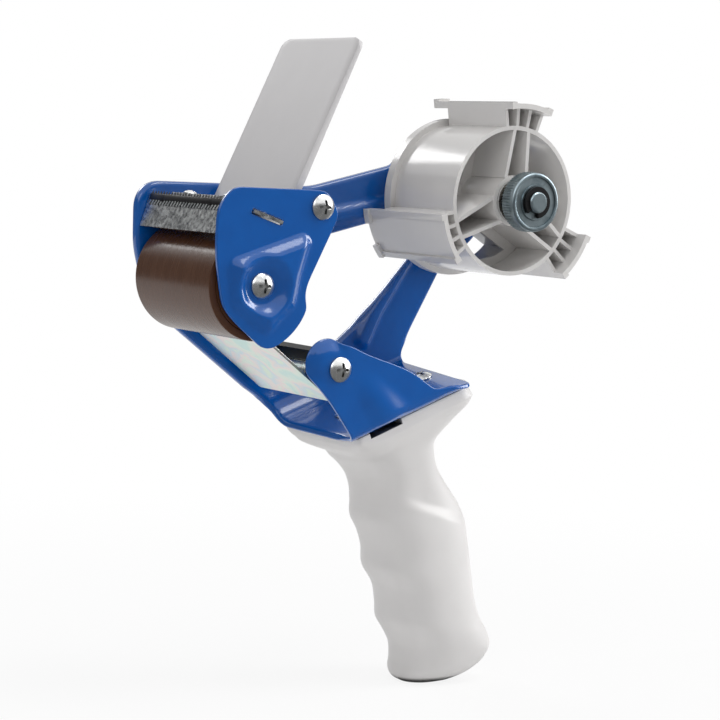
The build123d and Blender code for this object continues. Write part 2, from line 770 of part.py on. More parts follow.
with BuildPart() as core_hub:
    rod((0, 0), ring_outer_r, ring_front, hub_rear)
    rod((0, 0), flange_r, flange_front, hub_rear)
    rod((0, 0), ring_inner_r, ring_front, hub_rear, mode=Mode.SUBTRACT)
    rod((0, 0), ring_inner_r + wall_overlap, web_front, web_front + web_sheet)
    rod((0, 0), hub_boss_outer_r, hub_boss_front, hub_rear)
    for arm in range(arm_count):
        arm_plane = hub_plane(first_arm + arm * 360 / arm_count)
        with BuildSketch(hub_plane(first_arm + (arm + 0.5) * 360 / arm_count).offset(-web_front)) as window:
            with BuildLine():
                rim = CenterArc((0, 0), window_outer_r, -window_angle / 2, window_angle)
                Polyline(rim @ 1, (window_tip_r, 0), rim @ 0)
            make_face()
        extrude(window.sketch, amount=-web_sheet, mode=Mode.SUBTRACT)
        for side in (-1, 1):
            hub_bar(arm_plane, (hub_boss_outer_r - ring_wall, side * spoke_spread_in),
                    (ring_inner_r + wall_overlap, side * spoke_spread_out), spoke_sheet,
                    ring_front, hub_rear)
        for rib in range(pad_rib_count):
            turn = radians((rib - (pad_rib_count - 1) / 2) * pad_rib_pitch)
            hub_bar(arm_plane,
                    ((ring_outer_r - wall_overlap) * cos(turn), (ring_outer_r - wall_overlap) * sin(turn)),
                    ((pad_inner_r + wall_overlap) * cos(turn), (pad_inner_r + wall_overlap) * sin(turn)),
                    pad_rib_sheet, ring_front, pad_rib_rear)
        arc_band(arm_plane, pad_inner_r, pad_outer_r, -pad_angle / 2, pad_angle, pad_near, pad_far)
        lip_angle = degrees(pad_lip_width / pad_outer_r)
        hook_angle = degrees(pad_hook_width / pad_outer_r)
        for start in (-pad_angle / 2, pad_angle / 2 - lip_angle):
            arc_band(arm_plane, pad_outer_r - pad_lip, pad_outer_r + pad_lip, start, lip_angle,
                     pad_near, pad_far)
        for start in (-pad_angle / 2, pad_angle / 2 - hook_angle):
            arc_band(arm_plane, pad_outer_r - pad_lip, pad_outer_r + pad_lip + pad_hook, start,
                     hook_angle, pad_far - pad_hook_depth, pad_far)
    rod((0, 0), shaft_r + play, hub_boss_front, hub_rear, mode=Mode.SUBTRACT)

finish(core_hub, "core_hub")


# Shaft and the brake that drags on the hub

boss_face = half_gap - boss_raise
shaft_flange_front = boss_face - shaft_flange_sheet
shaft_nut_seat = boss_face + sheet
shaft_rear = shaft_nut_seat + shaft_nut_length + shaft_tail
thrust_rear = hub_boss_front - brake_gap
spring_rear = thrust_rear - washer_sheet
spring_front = spring_rear - brake_spring_length
nut_rear = spring_front - washer_sheet
nut_front = nut_rear - nut_length
clip_rear = nut_front - seat_gap
clip_front = clip_rear - clip_sheet
shaft_front = clip_front - shaft_point


def washer(label, y_low, y_high, radius):
    """A plain washer on the shaft."""
    with BuildPart() as ring:
        rod((0, 0), radius, y_low, y_high)
        rod((0, 0), shaft_r + play, y_low, y_high, mode=Mode.SUBTRACT)
    finish(ring, label)


with BuildPart() as hub_shaft:
    rod((0, 0), shaft_r, shaft_front, shaft_rear)
    chamfer(hub_shaft.faces().filter_by(Axis.Y).edges(), shaft_point / 2)
    rod((0, 0), shaft_flange_r, shaft_flange_front, boss_face)
    rod((0, 0), 2 * shaft_r, clip_front, clip_rear, mode=Mode.SUBTRACT)
    rod((0, 0), clip_groove_r, clip_front, clip_rear)

finish(hub_shaft, "hub_shaft")

washer("rear_washer", shaft_flange_front - rear_washer_sheet, shaft_flange_front, washer_r)
washer("thrust_washer", spring_rear, thrust_rear, washer_r)
washer("brake_washer", nut_rear, spring_front, washer_r)

with BuildPart() as brake_spring:
    coil_rise = brake_spring_length - 2 * brake_spring_wire_r
    with BuildLine() as turns:
        Helix(coil_rise / brake_spring_turns, coil_rise, brake_spring_r,
              center=(0, spring_front + brake_spring_wire_r, 0), direction=(0, 1, 0))
    with BuildSketch(Plane(origin=turns.line @ 0, z_dir=turns.line % 0)) as spring_wire:
        Circle(brake_spring_wire_r)
    sweep(spring_wire.sketch, path=turns.line)

finish(brake_spring, "brake_spring")

with BuildPart() as brake_nut:
    with BuildSketch(Plane.XZ.offset(-nut_rear)) as knurl:
        crests = []
        for tooth in range(knurl_count):
            for part_turn, radius in ((0, nut_r), (0.5, nut_r - knurl_depth)):
                turn = 2 * pi * (tooth + part_turn) / knurl_count
                crests.append((radius * cos(turn), radius * sin(turn)))
        with BuildLine():
            Polyline(*crests, close=True)
        make_face()
    extrude(knurl.sketch, amount=knurl_length)
    rod((0, 0), nut_r - knurl_depth / 2, nut_front, nut_rear - knurl_length)
    fillet(brake_nut.faces().sort_by(Axis.Y)[0].edges(), nut_bevel)
    rod((0, 0), nut_dish_r, nut_front, nut_front + nut_dish_depth, mode=Mode.SUBTRACT)
    rod((0, 0), clip_r + nut_bevel, nut_front, nut_front + nut_dish_depth)
    rod((0, 0), shaft_r + play, nut_front, nut_rear, mode=Mode.SUBTRACT)

finish(brake_nut, "brake_nut")

with BuildPart() as retaining_clip:
    arc_band(hub_plane(clip_turn), clip_groove_r + play, clip_r, clip_mouth / 2, 360 - clip_mouth,
             clip_front, clip_rear)

finish(retaining_clip, "retaining_clip")

with BuildPart() as shaft_nut:
    with BuildSketch(Plane.XZ.offset(-shaft_nut_seat)) as hexagon:
        RegularPolygon(shaft_nut_flat / 2, 6, major_radius=False)
        Circle(shaft_r + play, mode=Mode.SUBTRACT)
    extrude(hexagon.sketch, amount=-shaft_nut_length)

finish(shaft_nut, "shaft_nut")


# Handle


def signed_power(value, power):
    """A power of a number that keeps its sign."""
    return copysign(abs(value) ** power, value)


def grip_section(front, rear, half_width, squareness):
    """A superellipse between two points: squareness 2 is an ellipse, higher is boxier."""
    along = rear - front
    places = []
    for k in range(section_points):
        turn = 2 * pi * (k + 0.5) / section_points
        places.append((signed_power(cos(turn), 2 / squareness) * along.length / 2,
                       signed_power(sin(turn), 2 / squareness) * half_width))
    level = Plane(origin=(front + rear) / 2, x_dir=along, z_dir=along.cross(Vector(0, 1, 0)))
    with BuildSketch(level) as section:
        with BuildLine():
            Spline(*places, periodic=True)
        make_face()
    return section.sketch


with BuildPart() as handle:
    with BuildSketch(base_plane.offset(-sheet)) as collar:
        with Locations((collar_front + collar_length / 2, 0)):
            Rectangle(collar_length, collar_width)
        fillet(collar.vertices().group_by(Axis.X)[-1], collar_rear_r)
        fillet(collar.vertices().group_by(Axis.X)[0], collar_front_r)
    extrude(collar.sketch, amount=-collar_height)
    fillet(handle.faces().sort_by(Axis.Z)[-1].edges(), collar_edge_r)
    levels = []
    for front_u, front_w, rear_u, rear_w, half_width, squareness in collar_sections:
        ends = [base_plane.from_local_coords(Vector(u, 0, w))
                for u, w in ((front_u, front_w), (rear_u, rear_w))]
        levels.append(grip_section(*ends, half_width, squareness))
    for front_x, front_z, rear_x, rear_z, half_width, squareness in grip_sections:
        levels.append(grip_section(Vector(front_x, 0, front_z), Vector(rear_x, 0, rear_z),
                                   half_width, squareness))
    loft(levels)
    with BuildSketch(base_plane.offset(-sheet)) as pocket:
        with Locations((notch_at + notch_length / 2, -collar_width / 2)):
            Rectangle(notch_length, 2 * notch_width)
    extrude(pocket.sketch, amount=-notch_depth, mode=Mode.SUBTRACT)
    with BuildSketch(base_plane.offset(-sheet)) as screw_bores:
        with Locations(*[(along, 0) for along in handle_screw_at]):
            Circle(handle_screw_r + play)
    extrude(screw_bores.sketch, amount=-handle_screw_length, mode=Mode.SUBTRACT)

finish(handle, "handle")

with BuildPart() as handle_screws:
    for along in handle_screw_at:
        pan_screw(base_plane.from_local_coords(Vector(along, 0, 0)), base_plane.z_dir,
                  base_plane.x_dir, handle_screw_head_r, handle_screw_head_h, handle_screw_r,
                  handle_screw_length)

finish(handle_screws, "handle_screws")
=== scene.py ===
# %% [markdown]
# A hand-held packing tape dispenser: an enamelled steel frame on a moulded grip, with a
# roller, a toothed blade and a bent flap at the head, and a braked hub for the roll.
# The construction comes from the frame, and this lesson dresses it: some pieces keep their
# mesh and get a finish, and others, such as the pressed sheet, are made anew in its place.

# %% Load the frame
import json
from itertools import product
from math import atan2, cos, pi, radians, sin, sqrt, tan

import bmesh
import bpy
import numpy as np
from mathutils import Matrix, Vector
from mathutils.geometry import delaunay_2d_cdt


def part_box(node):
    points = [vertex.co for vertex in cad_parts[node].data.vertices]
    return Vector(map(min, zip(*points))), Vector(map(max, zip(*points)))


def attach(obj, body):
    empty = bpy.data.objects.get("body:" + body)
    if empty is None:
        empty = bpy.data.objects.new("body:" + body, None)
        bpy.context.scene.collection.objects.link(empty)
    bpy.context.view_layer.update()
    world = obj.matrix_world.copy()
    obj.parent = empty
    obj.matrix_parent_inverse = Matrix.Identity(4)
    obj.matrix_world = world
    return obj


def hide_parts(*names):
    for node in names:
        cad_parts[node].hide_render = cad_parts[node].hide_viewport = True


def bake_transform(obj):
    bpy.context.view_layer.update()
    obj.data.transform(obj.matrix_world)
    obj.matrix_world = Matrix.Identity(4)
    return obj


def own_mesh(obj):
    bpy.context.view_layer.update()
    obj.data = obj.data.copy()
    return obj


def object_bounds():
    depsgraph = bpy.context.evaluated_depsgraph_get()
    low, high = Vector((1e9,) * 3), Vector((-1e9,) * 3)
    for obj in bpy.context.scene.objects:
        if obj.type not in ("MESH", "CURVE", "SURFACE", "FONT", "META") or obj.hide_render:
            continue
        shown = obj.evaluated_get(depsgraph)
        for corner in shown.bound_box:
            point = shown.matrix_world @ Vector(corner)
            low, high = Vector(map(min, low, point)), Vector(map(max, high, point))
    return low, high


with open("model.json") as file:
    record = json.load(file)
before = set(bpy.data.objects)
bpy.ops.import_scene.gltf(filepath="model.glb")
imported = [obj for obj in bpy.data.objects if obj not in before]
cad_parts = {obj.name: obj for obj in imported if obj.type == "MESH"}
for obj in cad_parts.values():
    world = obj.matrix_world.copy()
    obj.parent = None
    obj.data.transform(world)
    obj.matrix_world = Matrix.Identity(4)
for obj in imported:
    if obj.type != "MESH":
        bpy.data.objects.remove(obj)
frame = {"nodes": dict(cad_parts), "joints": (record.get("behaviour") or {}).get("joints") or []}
cad_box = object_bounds()
MM = 0.001
closeness = 0.002            # places nearer to each other than this are one
print("nodes in the frame:", len(frame["nodes"]))

# %% [markdown]
# Every size below is in millimetres. The frame gives the main places: the axis of each
# joint, and the rod that keeps the cheeks apart. What it can't say, such as the radius of a
# fold, is named where it is used.

# %% Read the main places from the frame


def joint_at(name):
    """A joint's place as x and z, in millimetres."""
    joint = next(joint for joint in frame["joints"] if joint["name"] == name)
    return np.array([joint["pos_m"][0], joint["pos_m"][2]]) / MM


roller_at = joint_at("roller_spin")
bend_at = joint_at("flap_bend")
half_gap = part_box("spacer_rod")[1][1] / MM
sheet = 1.5
print("inner faces of the cheeks at", -half_gap, half_gap)

# %% [markdown]
# Colours are given as sRGB hex values, but shaders work in linear light, so one
# function turns them over. The others add what most finishes need: a noise on the piece's
# own coordinates, a colour between two, a low bump, and painted shade in hollows.

# %% Colours and shader nodes


def linear(code):
    """An sRGB hex colour as linear red, green, blue and alpha."""
    shares = [int(code[i:i + 2], 16) / 255 for i in (1, 3, 5)]
    return [s / 12.92 if s <= 0.04045 else ((s + 0.055) / 1.055) ** 2.4 for s in shares] + [1.0]


def add_node(tree, kind, values=None, links=None, **settings):
    """Add a node, set its properties and sockets, and link its inputs."""
    node = tree.nodes.new(kind)
    for key, value in settings.items():
        setattr(node, key, value)
    for key, value in (values or {}).items():
        node.inputs[key].default_value = value
    for key, source in (links or {}).items():
        tree.links.new(source, node.inputs[key])
    return node


def new_finish(name, **values):
    """A material with a Principled shader; returns the material, its tree and the shader."""
    material = bpy.data.materials.new(name)
    material.use_nodes = True
    shader = material.node_tree.nodes["Principled BSDF"]
    for key, value in values.items():
        shader.inputs[key.replace("_", " ")].default_value = value
    print("made", name)
    return material, material.node_tree, shader


def noise(tree, size_mm, detail, stretch=None, distortion=0.0):
    """A noise with features of this size on the piece's own coordinates, from 0 to 1."""
    place = add_node(tree, "ShaderNodeTexCoord").outputs["Object"]
    if stretch:
        mapping = add_node(tree, "ShaderNodeMapping", {"Scale": stretch}, {"Vector": place})
        place = mapping.outputs["Vector"]
    values = {"Scale": 1 / (size_mm * MM), "Detail": detail, "Distortion": distortion}
    return add_node(tree, "ShaderNodeTexNoise", values, {"Vector": place}).outputs["Fac"]


def between(tree, dull, bright, share):
    """A colour that moves between two sRGB colours."""
    return add_node(tree, "ShaderNodeMix", {"A": linear(dull), "B": linear(bright)},
                    {"Factor": share}, data_type="RGBA").outputs["Result"]


def spread(tree, value, low, high, start=0.0, stop=1.0, **settings):
    """A value from start to stop, spread over low to high."""
    values = {"From Min": start, "From Max": stop, "To Min": low, "To Max": high}
    node = add_node(tree, "ShaderNodeMapRange", values, {"Value": value}, **settings)
    return node.outputs["Result"]


def relief(tree, shader, height, strength, depth_mm):
    """Give a shader a low bump."""
    bump = add_node(tree, "ShaderNodeBump", {"Strength": strength, "Distance": depth_mm * MM},
                    {"Height": height})
    tree.links.new(bump.outputs["Normal"], shader.inputs["Normal"])


def painted_hollow_shade(tree, colour, reach_mm, shut, wide, darkest):
    """Painted shade: a colour that darkens where the surfaces within reach shut the light out."""
    shelter = add_node(tree, "ShaderNodeAmbientOcclusion", {"Distance": reach_mm * MM}, samples=8)
    lit = spread(tree, shelter.outputs["AO"], darkest, 1.0, shut, wide)
    return add_node(tree, "ShaderNodeMix", {"Factor": 1.0}, {"A": colour, "B": lit},
                    data_type="RGBA", blend_type="MULTIPLY").outputs["Result"]


def tinted(name, dull, bright, cloud, grain=None, slot_shade_mm=0, **values):
    """A finish whose colour drifts between two, with a fine grain and painted shade in slots if
    asked.
    A cloud is a size in mm and a detail; a grain has a strength and a depth in mm besides."""
    material, tree, shader = new_finish(name, **values)
    colour = between(tree, dull, bright, noise(tree, *cloud))
    # Painted shade: slots darken where the surfaces round them shut the light out
    if slot_shade_mm:
        colour = painted_hollow_shade(tree, colour, slot_shade_mm, shut=0.3, wide=0.55, darkest=0.03)
    tree.links.new(colour, shader.inputs["Base Color"])
    if grain:
        relief(tree, shader, noise(tree, *grain[:2]), *grain[2:])
    return material


# %% [markdown]
# The frame is deep-drawn steel sheet with a baked polyester enamel. Enamel gives a sharp
# reflection over a saturated colour, with a faint orange peel left by the flow of the paint.
# The peel is drawn as a low bump, about 2 mm from crest to crest.

# %% Blue enamel
enamel = tinted("baked_blue_enamel", "#0056AA", "#0061BA", (9, 2.0), (2.2, 1.0, 0.05, 0.05),
                Roughness=0.2, IOR=1.5, Coat_Weight=0.6, Coat_Roughness=0.04)

# %% [markdown]
# The hub and the grip are injection moulded. The hub is polished ABS, so it mirrors the
# lights softly, and the grip is a duller polypropylene with a fine spark-eroded grain. The
# real grip is hollow; here its narrow slots and its seams with the base plate and the floor are
# painted with shade.

# %% Moulded plastics
# The last number of each is how far painted shade reaches into slots, in mm; only the grip has it
hub_plastic, grip_plastic, flap_plastic, black_nylon = (
    tinted(name, dull, bright, (14, 3.0), (grain_mm, 2.0, 0.12, depth_mm), slot_shade_mm,
           Roughness=roughness, IOR=1.5)
    for name, dull, bright, roughness, grain_mm, depth_mm, slot_shade_mm in (
        ("polished_white_abs", "#E1DFDD", "#E9E7E5", 0.13, 1.2, 0.02, 0),
        ("satin_polypropylene", "#E9E7E6", "#F0EEED", 0.42, 0.5, 0.03, 5),
        ("grey_flexible_pvc", "#D4D2D3", "#DBD9DA", 0.45, 0.8, 0.02, 0),
        ("black_nylon", "#0A0A0C", "#121214", 0.22, 0.8, 0.02, 0),
    ))

# %% [markdown]
# Metals come next. Fasteners and rods are steel with a thin bright zinc plating, which
# mirrors almost everything. Sheet zinc that was passivated shows a weak rainbow, because the
# clear film on it is about as thin as a wave of light; noise moves slowly between its tints.
# Hollows narrower than about a millimetre, such as the crosses in screw heads, are painted with
# shade.

# %% Plated metals


def plated(name, tints, cloud_mm, roughness, rough_spread, scratch=0.1, darkest=0.12):
    """A plated metal: tints drift over it, and its polish varies a little with them."""
    material, tree, shader = new_finish(name, Metallic=1.0)
    drift = noise(tree, cloud_mm, 3.0, distortion=0.6)
    ramp = add_node(tree, "ShaderNodeValToRGB", links={"Fac": drift})
    stops = ramp.color_ramp.elements
    for index, (tint, at) in enumerate(zip(tints, np.linspace(0.32, 0.68, len(tints)))):
        stop = stops[index] if index < 2 else stops.new(at)
        stop.position, stop.color = at, linear(tint)
    # Painted shade: the colour darkens in narrow hollows and seams
    colour = painted_hollow_shade(tree, ramp.outputs["Color"], 1.2, shut=0.35, wide=0.8, darkest=darkest)
    polish = spread(tree, drift, roughness, roughness + rough_spread)
    tree.links.new(colour, shader.inputs["Base Color"])
    tree.links.new(polish, shader.inputs["Roughness"])
    relief(tree, shader, noise(tree, 0.7, 2.0), scratch, 0.02)
    return material


bright_zinc = plated("bright_zinc_plate", ("#D5D7D8", "#F0F1F0", "#E2E4E3"), 3, 0.2, 0.14)
rainbow_zinc = plated("passivated_zinc_sheet",
                      ("#C9E2DD", "#DCE8DE", "#EADFDC", "#CFE0E6", "#DDEBDC"), 11, 0.34, 0.12)
holder_zinc = plated("mottled_zinc_sheet", ("#9A9D9F", "#C4C6C7", "#F0F2F2"), 1.6, 0.16, 0.24,
                     scratch=0.4, darkest=0.8)
turned_zinc = plated("blue_turned_zinc", ("#8FA0A8", "#A8B7BD", "#9CABB2"), 4, 0.26, 0.12)
spring_steel = plated("dark_spring_steel", ("#55504A", "#6B655C"), 3, 0.28, 0.1)
ground_steel = plated("freshly_ground_steel", ("#B9BDC0", "#DADDDE", "#F0F1F1"), 1.5, 0.2, 0.2)

# %% [markdown]
# The blade and the clip are black oxide on steel: dark, a little oily and not quite matt.
# The roller is a brown phenolic sleeve. Turning left faint rings round it, and tape has
# polished it, so its roughness runs in bands along the axle.

# %% Blade, clip and roller finishes
black_oxide = tinted("black_oxide_steel", "#1B1A1B", "#2A2A2C", (5, 3.0),
                     Metallic=0.6, Roughness=0.34)

roller_brown, tree, shader = new_finish("brown_phenolic_roller", Specular_IOR_Level=0.3, IOR=1.55)
rings = noise(tree, 2.5, 4.0, stretch=(0.06, 1, 0.06))
mixed = add_node(tree, "ShaderNodeMath", {2: 0.2}, {0: rings, 1: noise(tree, 12, 4.0)},
                 operation="MULTIPLY_ADD").outputs["Value"]
tree.links.new(between(tree, "#4C2F20", "#664531", mixed), shader.inputs["Base Color"])
tree.links.new(spread(tree, rings, 0.2, 0.34), shader.inputs["Roughness"])
relief(tree, shader, rings, 0.12, 0.03)

# %% [markdown]
# Pieces that are made here share one helper. It takes points in millimetres and faces,
# merges what coincides, turns the faces outwards, runs any modifiers and keeps their result
# as a plain mesh. Edges sharper than an angle stay crisp; the rest is shaded smooth.

# %% A helper that finishes a mesh
square = ((-1, -1), (1, -1), (1, 1), (-1, 1))
box_faces = [(0, 1, 3, 2), (4, 6, 7, 5), (0, 4, 5, 1), (2, 3, 7, 6), (0, 2, 6, 4), (1, 5, 7, 3)]


def mesh_object(name, points, faces):
    """A new object in the scene, from points in millimetres."""
    mesh = bpy.data.meshes.new(name)
    points = [tuple(MM * float(c) for c in point) for point in points]
    mesh.from_pydata(points, [], [tuple(face) for face in faces])
    obj = bpy.data.objects.new(name, mesh)
    bpy.context.scene.collection.objects.link(obj)
    return obj


def keep_result(obj):
    """Replace an object's mesh with what its modifiers make of it."""
    graph = bpy.context.evaluated_depsgraph_get()
    result = bpy.data.meshes.new_from_object(obj.evaluated_get(graph), depsgraph=graph)
    obj.modifiers.clear()
    obj.data = result


def add_modifier(obj, kind, settings):
    """Give an object a modifier with these settings."""
    modifier = obj.modifiers.new(kind.title(), kind)
    for key, value in settings.items():
        setattr(modifier, key, value)


def make_piece(name, points, faces, material, body, modifiers=(), crisp=38, closed=True):
    """A finished piece of the object, from points in millimetres."""
    obj = mesh_object(name, points, faces)
    work = bmesh.new()
    work.from_mesh(obj.data)
    bmesh.ops.remove_doubles(work, verts=work.verts, dist=closeness * MM)
    bmesh.ops.delete(work, geom=[v for v in work.verts if not v.link_faces], context="VERTS")
    if closed:
        bmesh.ops.recalc_face_normals(work, faces=work.faces)
    work.to_mesh(obj.data)
    work.free()
    for kind, settings in modifiers:
        add_modifier(obj, kind, settings)
    if modifiers:
        keep_result(obj)
    obj.data.shade_smooth()
    obj.data.set_sharp_from_angle(angle=radians(crisp))
    obj.data.materials.clear()
    obj.data.materials.append(material)
    if body:
        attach(obj, body)
    print(name, "faces", len(obj.data.polygons))
    return obj


def bevel(width, angle=50):
    """A modifier that breaks sharp edges, because real ones are never quite sharp."""
    return "BEVEL", {"width": width * MM, "segments": 2, "limit_method": "ANGLE",
                     "angle_limit": radians(angle)}


# %% [markdown]
# The pressed pieces keep the outlines of the frame's nodes. A node's flat face is found by
# its height, and the edges that only one of its triangles uses are its outline and holes.
# Walking round them gives loops, which are then sampled again at even steps.

# %% Read outlines from the frame


def loops_at(node, y):
    """Closed outlines of a node's faces at one height along Y, largest first, as x and z."""
    mesh = frame["nodes"][node].data
    corners = np.array([v.co for v in mesh.vertices]) / MM
    keys = [tuple(np.round(c, 3)) for c in corners]
    level = [abs(c[1] - y) < closeness for c in corners]
    used = {}
    for face in mesh.polygons:
        ring = list(face.vertices)
        if all(level[i] for i in ring):
            for start, stop in zip(ring, ring[1:] + ring[:1]):
                used[(keys[start], keys[stop])] = True
    following = {start: stop for start, stop in used if (stop, start) not in used}
    loops = []
    while following:
        start, point = following.popitem()
        loop = [start]
        while point in following and point != start:
            loop.append(point)
            point = following.pop(point)
        loops.append(np.array([(p[0], p[2]) for p in loop]))
    return sorted(loops, key=lambda loop: -abs(area_of(loop)))


def area_of(loop):
    """Signed area of a closed outline."""
    x, z = loop.T
    return 0.5 * float(np.sum(x * np.roll(z, -1) - z * np.roll(x, -1)))


def run_along(line):
    """How far along an open line each of its points is."""
    return np.concatenate([[0], np.cumsum(np.hypot(*np.diff(line, axis=0).T))])


def even_steps(loop, step):
    """Points at even steps along a closed outline, counter-clockwise."""
    if area_of(loop) < 0:
        loop = loop[::-1]
    ends = np.vstack([loop, loop[:1]])
    run = run_along(ends)
    count = max(3, int(round(run[-1] / step)))
    at = np.linspace(0, run[-1], count + 1)[:-1]
    return np.column_stack([np.interp(at, run, ends[:, 0]), np.interp(at, run, ends[:, 1])])


def soften(loop, times):
    """Round an outline's corners a little by averaging neighbours."""
    for _ in range(times):
        loop = 0.5 * loop + 0.25 * (np.roll(loop, 1, axis=0) + np.roll(loop, -1, axis=0))
    return loop


def inward(loop):
    """Unit normals that point into a counter-clockwise outline."""
    along = np.roll(loop, -1, axis=0) - np.roll(loop, 1, axis=0)
    along /= np.hypot(*along.T)[:, None]
    return np.column_stack([-along[:, 1], along[:, 0]])


def line_distance(points, line):
    """Distance from points to an open line."""
    nearest = np.full(len(points), 1e9)
    for a, b in zip(line, line[1:]):
        d = b - a
        t = np.clip(((points - a) @ d) / max(d @ d, 1e-12), 0, 1)
        nearest = np.minimum(nearest, np.hypot(*(points - a - t[:, None] * d).T))
    return nearest


def edge_distance(points, loop):
    """Distance from points to an outline, positive inside it."""
    line = np.vstack([loop, loop[:1]])
    inside = np.zeros(len(points), bool)
    for a, b in zip(line, line[1:]):
        d = b - a
        if abs(d[1]) > 1e-12:
            crosses = (a[1] > points[:, 1]) != (b[1] > points[:, 1])
            inside ^= crosses & (points[:, 0] < a[0] + d[0] * (points[:, 1] - a[1]) / d[1])
    nearest = line_distance(points, line)
    return np.where(inside, nearest, -nearest)


def soft_step(low, high, value):
    """A smooth rise from 0 to 1 between two values."""
    t = np.clip((value - low) / (high - low), 0, 1)
    return t * t * (3 - 2 * t)


print("outline of the near cheek has", len(loops_at("head_cheek", -half_gap)[0]), "points")

# %% [markdown]
# A sheet starts as a flat blank. The blank is filled with a triangulation that keeps its
# outline and holes and has even points between them, so that it can bend anywhere.

# %% Fill a blank
edge_clearance = 0.55        # share of a step that stays free of points along an edge


def fill_blank(outline, holes, step):
    """Points and triangles that fill an outline, apart from its holes."""
    low, high = outline.min(0), outline.max(0)
    rows = []
    for index, z in enumerate(np.arange(low[1], high[1], step * sqrt(3) / 2)):
        xs = np.arange(low[0] + (index % 2) * step / 2, high[0], step)
        rows.append(np.column_stack([xs, np.full(len(xs), z)]))
    inner = np.vstack(rows)
    keep = edge_distance(inner, outline) > edge_clearance * step
    for hole in holes:
        keep &= edge_distance(inner, hole) < -edge_clearance * step
    points, edges = [], []
    for ring in [outline] + list(holes):
        first = len(points)
        points += [Vector(p) for p in ring]
        edges += [(first + i, first + (i + 1) % len(ring)) for i in range(len(ring))]
    points += [Vector(p) for p in inner[keep]]
    made, _, triangles, *_ = delaunay_2d_cdt(points, edges, [], 0, 1e-5)
    made = np.array([tuple(p) for p in made])
    triangles = np.array([t for t in triangles if len(t) == 3])
    middle = made[triangles].mean(axis=1)
    wanted = edge_distance(middle, outline) > 0
    for hole in holes:
        wanted &= edge_distance(middle, hole) < 0
    return made, triangles[wanted]


# %% [markdown]
# The rim of the blank is a strip that can be turned over, as the edges of the far wall are.
# Each place on the rim has a share: 0 leaves the edge flat and 1 turns it a full quarter
# round. The strip follows an arc and then runs straight.

# %% Turn a rim
turn_radius, turn_depth, edge_round = 1.9, 3.0, 0.4
rim_rows, rim_parts = 7, 24


def rim_profile(share):
    """How far a turned rim has run out and down at each of its rows, for shares 0 to 1."""
    arc = turn_radius * pi / 2
    length = turn_radius + share * (arc + turn_depth - 2 * turn_radius) - edge_round
    out, down = [np.zeros_like(share)], [np.zeros_like(share)]
    bent = arc / (arc + turn_depth - turn_radius)
    for part in range(rim_parts):
        angle = share * pi / 2 * np.minimum(1, (part + 0.5) / rim_parts / bent)
        out.append(out[-1] + length / rim_parts * np.cos(angle))
        down.append(down[-1] + length / rim_parts * np.sin(angle))
    rows = np.linspace(0, rim_parts, rim_rows).round().astype(int)[1:]
    return [(out[row], down[row]) for row in rows]


def sheet_skin(outline, holes, shares, step, place):
    """Skin of a sheet, and its rims as rows of points. place turns blank points and a depth
    below the skin into 3-D points."""
    rims = []
    for index, ring in enumerate([outline] + list(holes)):
        normal = inward(ring) * (1 if index == 0 else -1)
        rims.append((ring + turn_radius * normal, normal, shares[index]))
    flat, triangles = fill_blank(rims[0][0], [inset for inset, _, _ in rims[1:]], step)
    points = [place(flat, np.zeros(len(flat)))]
    faces = [tuple(t) for t in triangles]
    first = len(flat)
    borders = []
    for index, (inset, normal, share) in enumerate(rims):
        layers = [(inset, np.zeros(len(inset)))]
        layers += [(inset - out[:, None] * normal, down) for out, down in rim_profile(share)]
        rows = [first + layer * len(inset) + np.arange(len(inset)) for layer in range(len(layers))]
        points += [place(blank, down) for blank, down in layers]
        for low, high in zip(rows, rows[1:]):
            faces += strip(low, high, index > 0)
        borders.append((rows[-2], rows[-1], index > 0))
        first += len(layers) * len(inset)
    return np.vstack(points), faces, borders


def strip(low, high, turned_over):
    """Faces between two closed rows of points."""
    after_low, after_high = np.roll(low, -1), np.roll(high, -1)
    rings = zip(low, high, after_high, after_low)
    return [ring[::-1] if turned_over else ring for ring in rings]


def merged(points, faces, borders):
    """The same skin with points that coincide made one."""
    _, keep, same = np.unique(np.round(points, 4), axis=0, return_index=True, return_inverse=True)
    same = same.ravel()
    faces = [tuple(same[list(face)]) for face in faces]
    return points[keep], faces, [(same[inner], same[edge], over) for inner, edge, over in borders]


def skin_normals(points, faces):
    """Unit normals at the points of a skin."""
    corners = np.array([(f[0], f[i], f[i + 1]) for f in faces for i in range(1, len(f) - 1)])
    a, b, c = (points[corners[:, k]] for k in range(3))
    facing = np.cross(b - a, c - a)
    normals = np.zeros_like(points)
    for k in range(3):
        np.add.at(normals, corners[:, k], facing)
    return normals / np.maximum(np.linalg.norm(normals, axis=1), 1e-9)[:, None]


def sheet_shell(outline, holes, shares, step, place):
    """A closed shell of sheet: its skin, the skin a thickness below, and rounded edges."""
    points, faces, borders = merged(*sheet_skin(outline, holes, shares, step, place))
    normals = skin_normals(points, faces)
    count = len(points)
    made = [points, points - sheet * normals]
    shell = faces + [tuple(count + i for i in reversed(face)) for face in faces]
    first = 2 * count
    for inner, edge, over in borders:
        facing = normals[edge]
        out = points[edge] - points[inner]
        out -= np.sum(out * facing, axis=1)[:, None] * facing
        out /= np.linalg.norm(out, axis=1)[:, None]
        quarter = [(sin(turn), 1 - cos(turn)) for turn in np.linspace(0, pi / 2, 4)]
        profile = [(edge_round * s, edge_round * c) for s, c in quarter[1:]]
        profile += [(edge_round * s, sheet - edge_round * c) for s, c in quarter[:0:-1]]
        rows = [edge]
        for reach, depth in profile:
            made.append(points[edge] + reach * out - depth * facing)
            rows.append(first + np.arange(len(edge)))
            first += len(edge)
        rows.append(count + edge)
        for low, high in zip(rows, rows[1:]):
            shell += strip(low, high, over)
    return np.vstack(made), shell


# %% [markdown]
# The near cheek of the head is one pressed plate. Its raised field stands 3 mm out of the
# plate with soft flanks, and a round dish in it takes the roller's screw back to the plate.
# A slanting slot lets the tab of the blade's holder through.

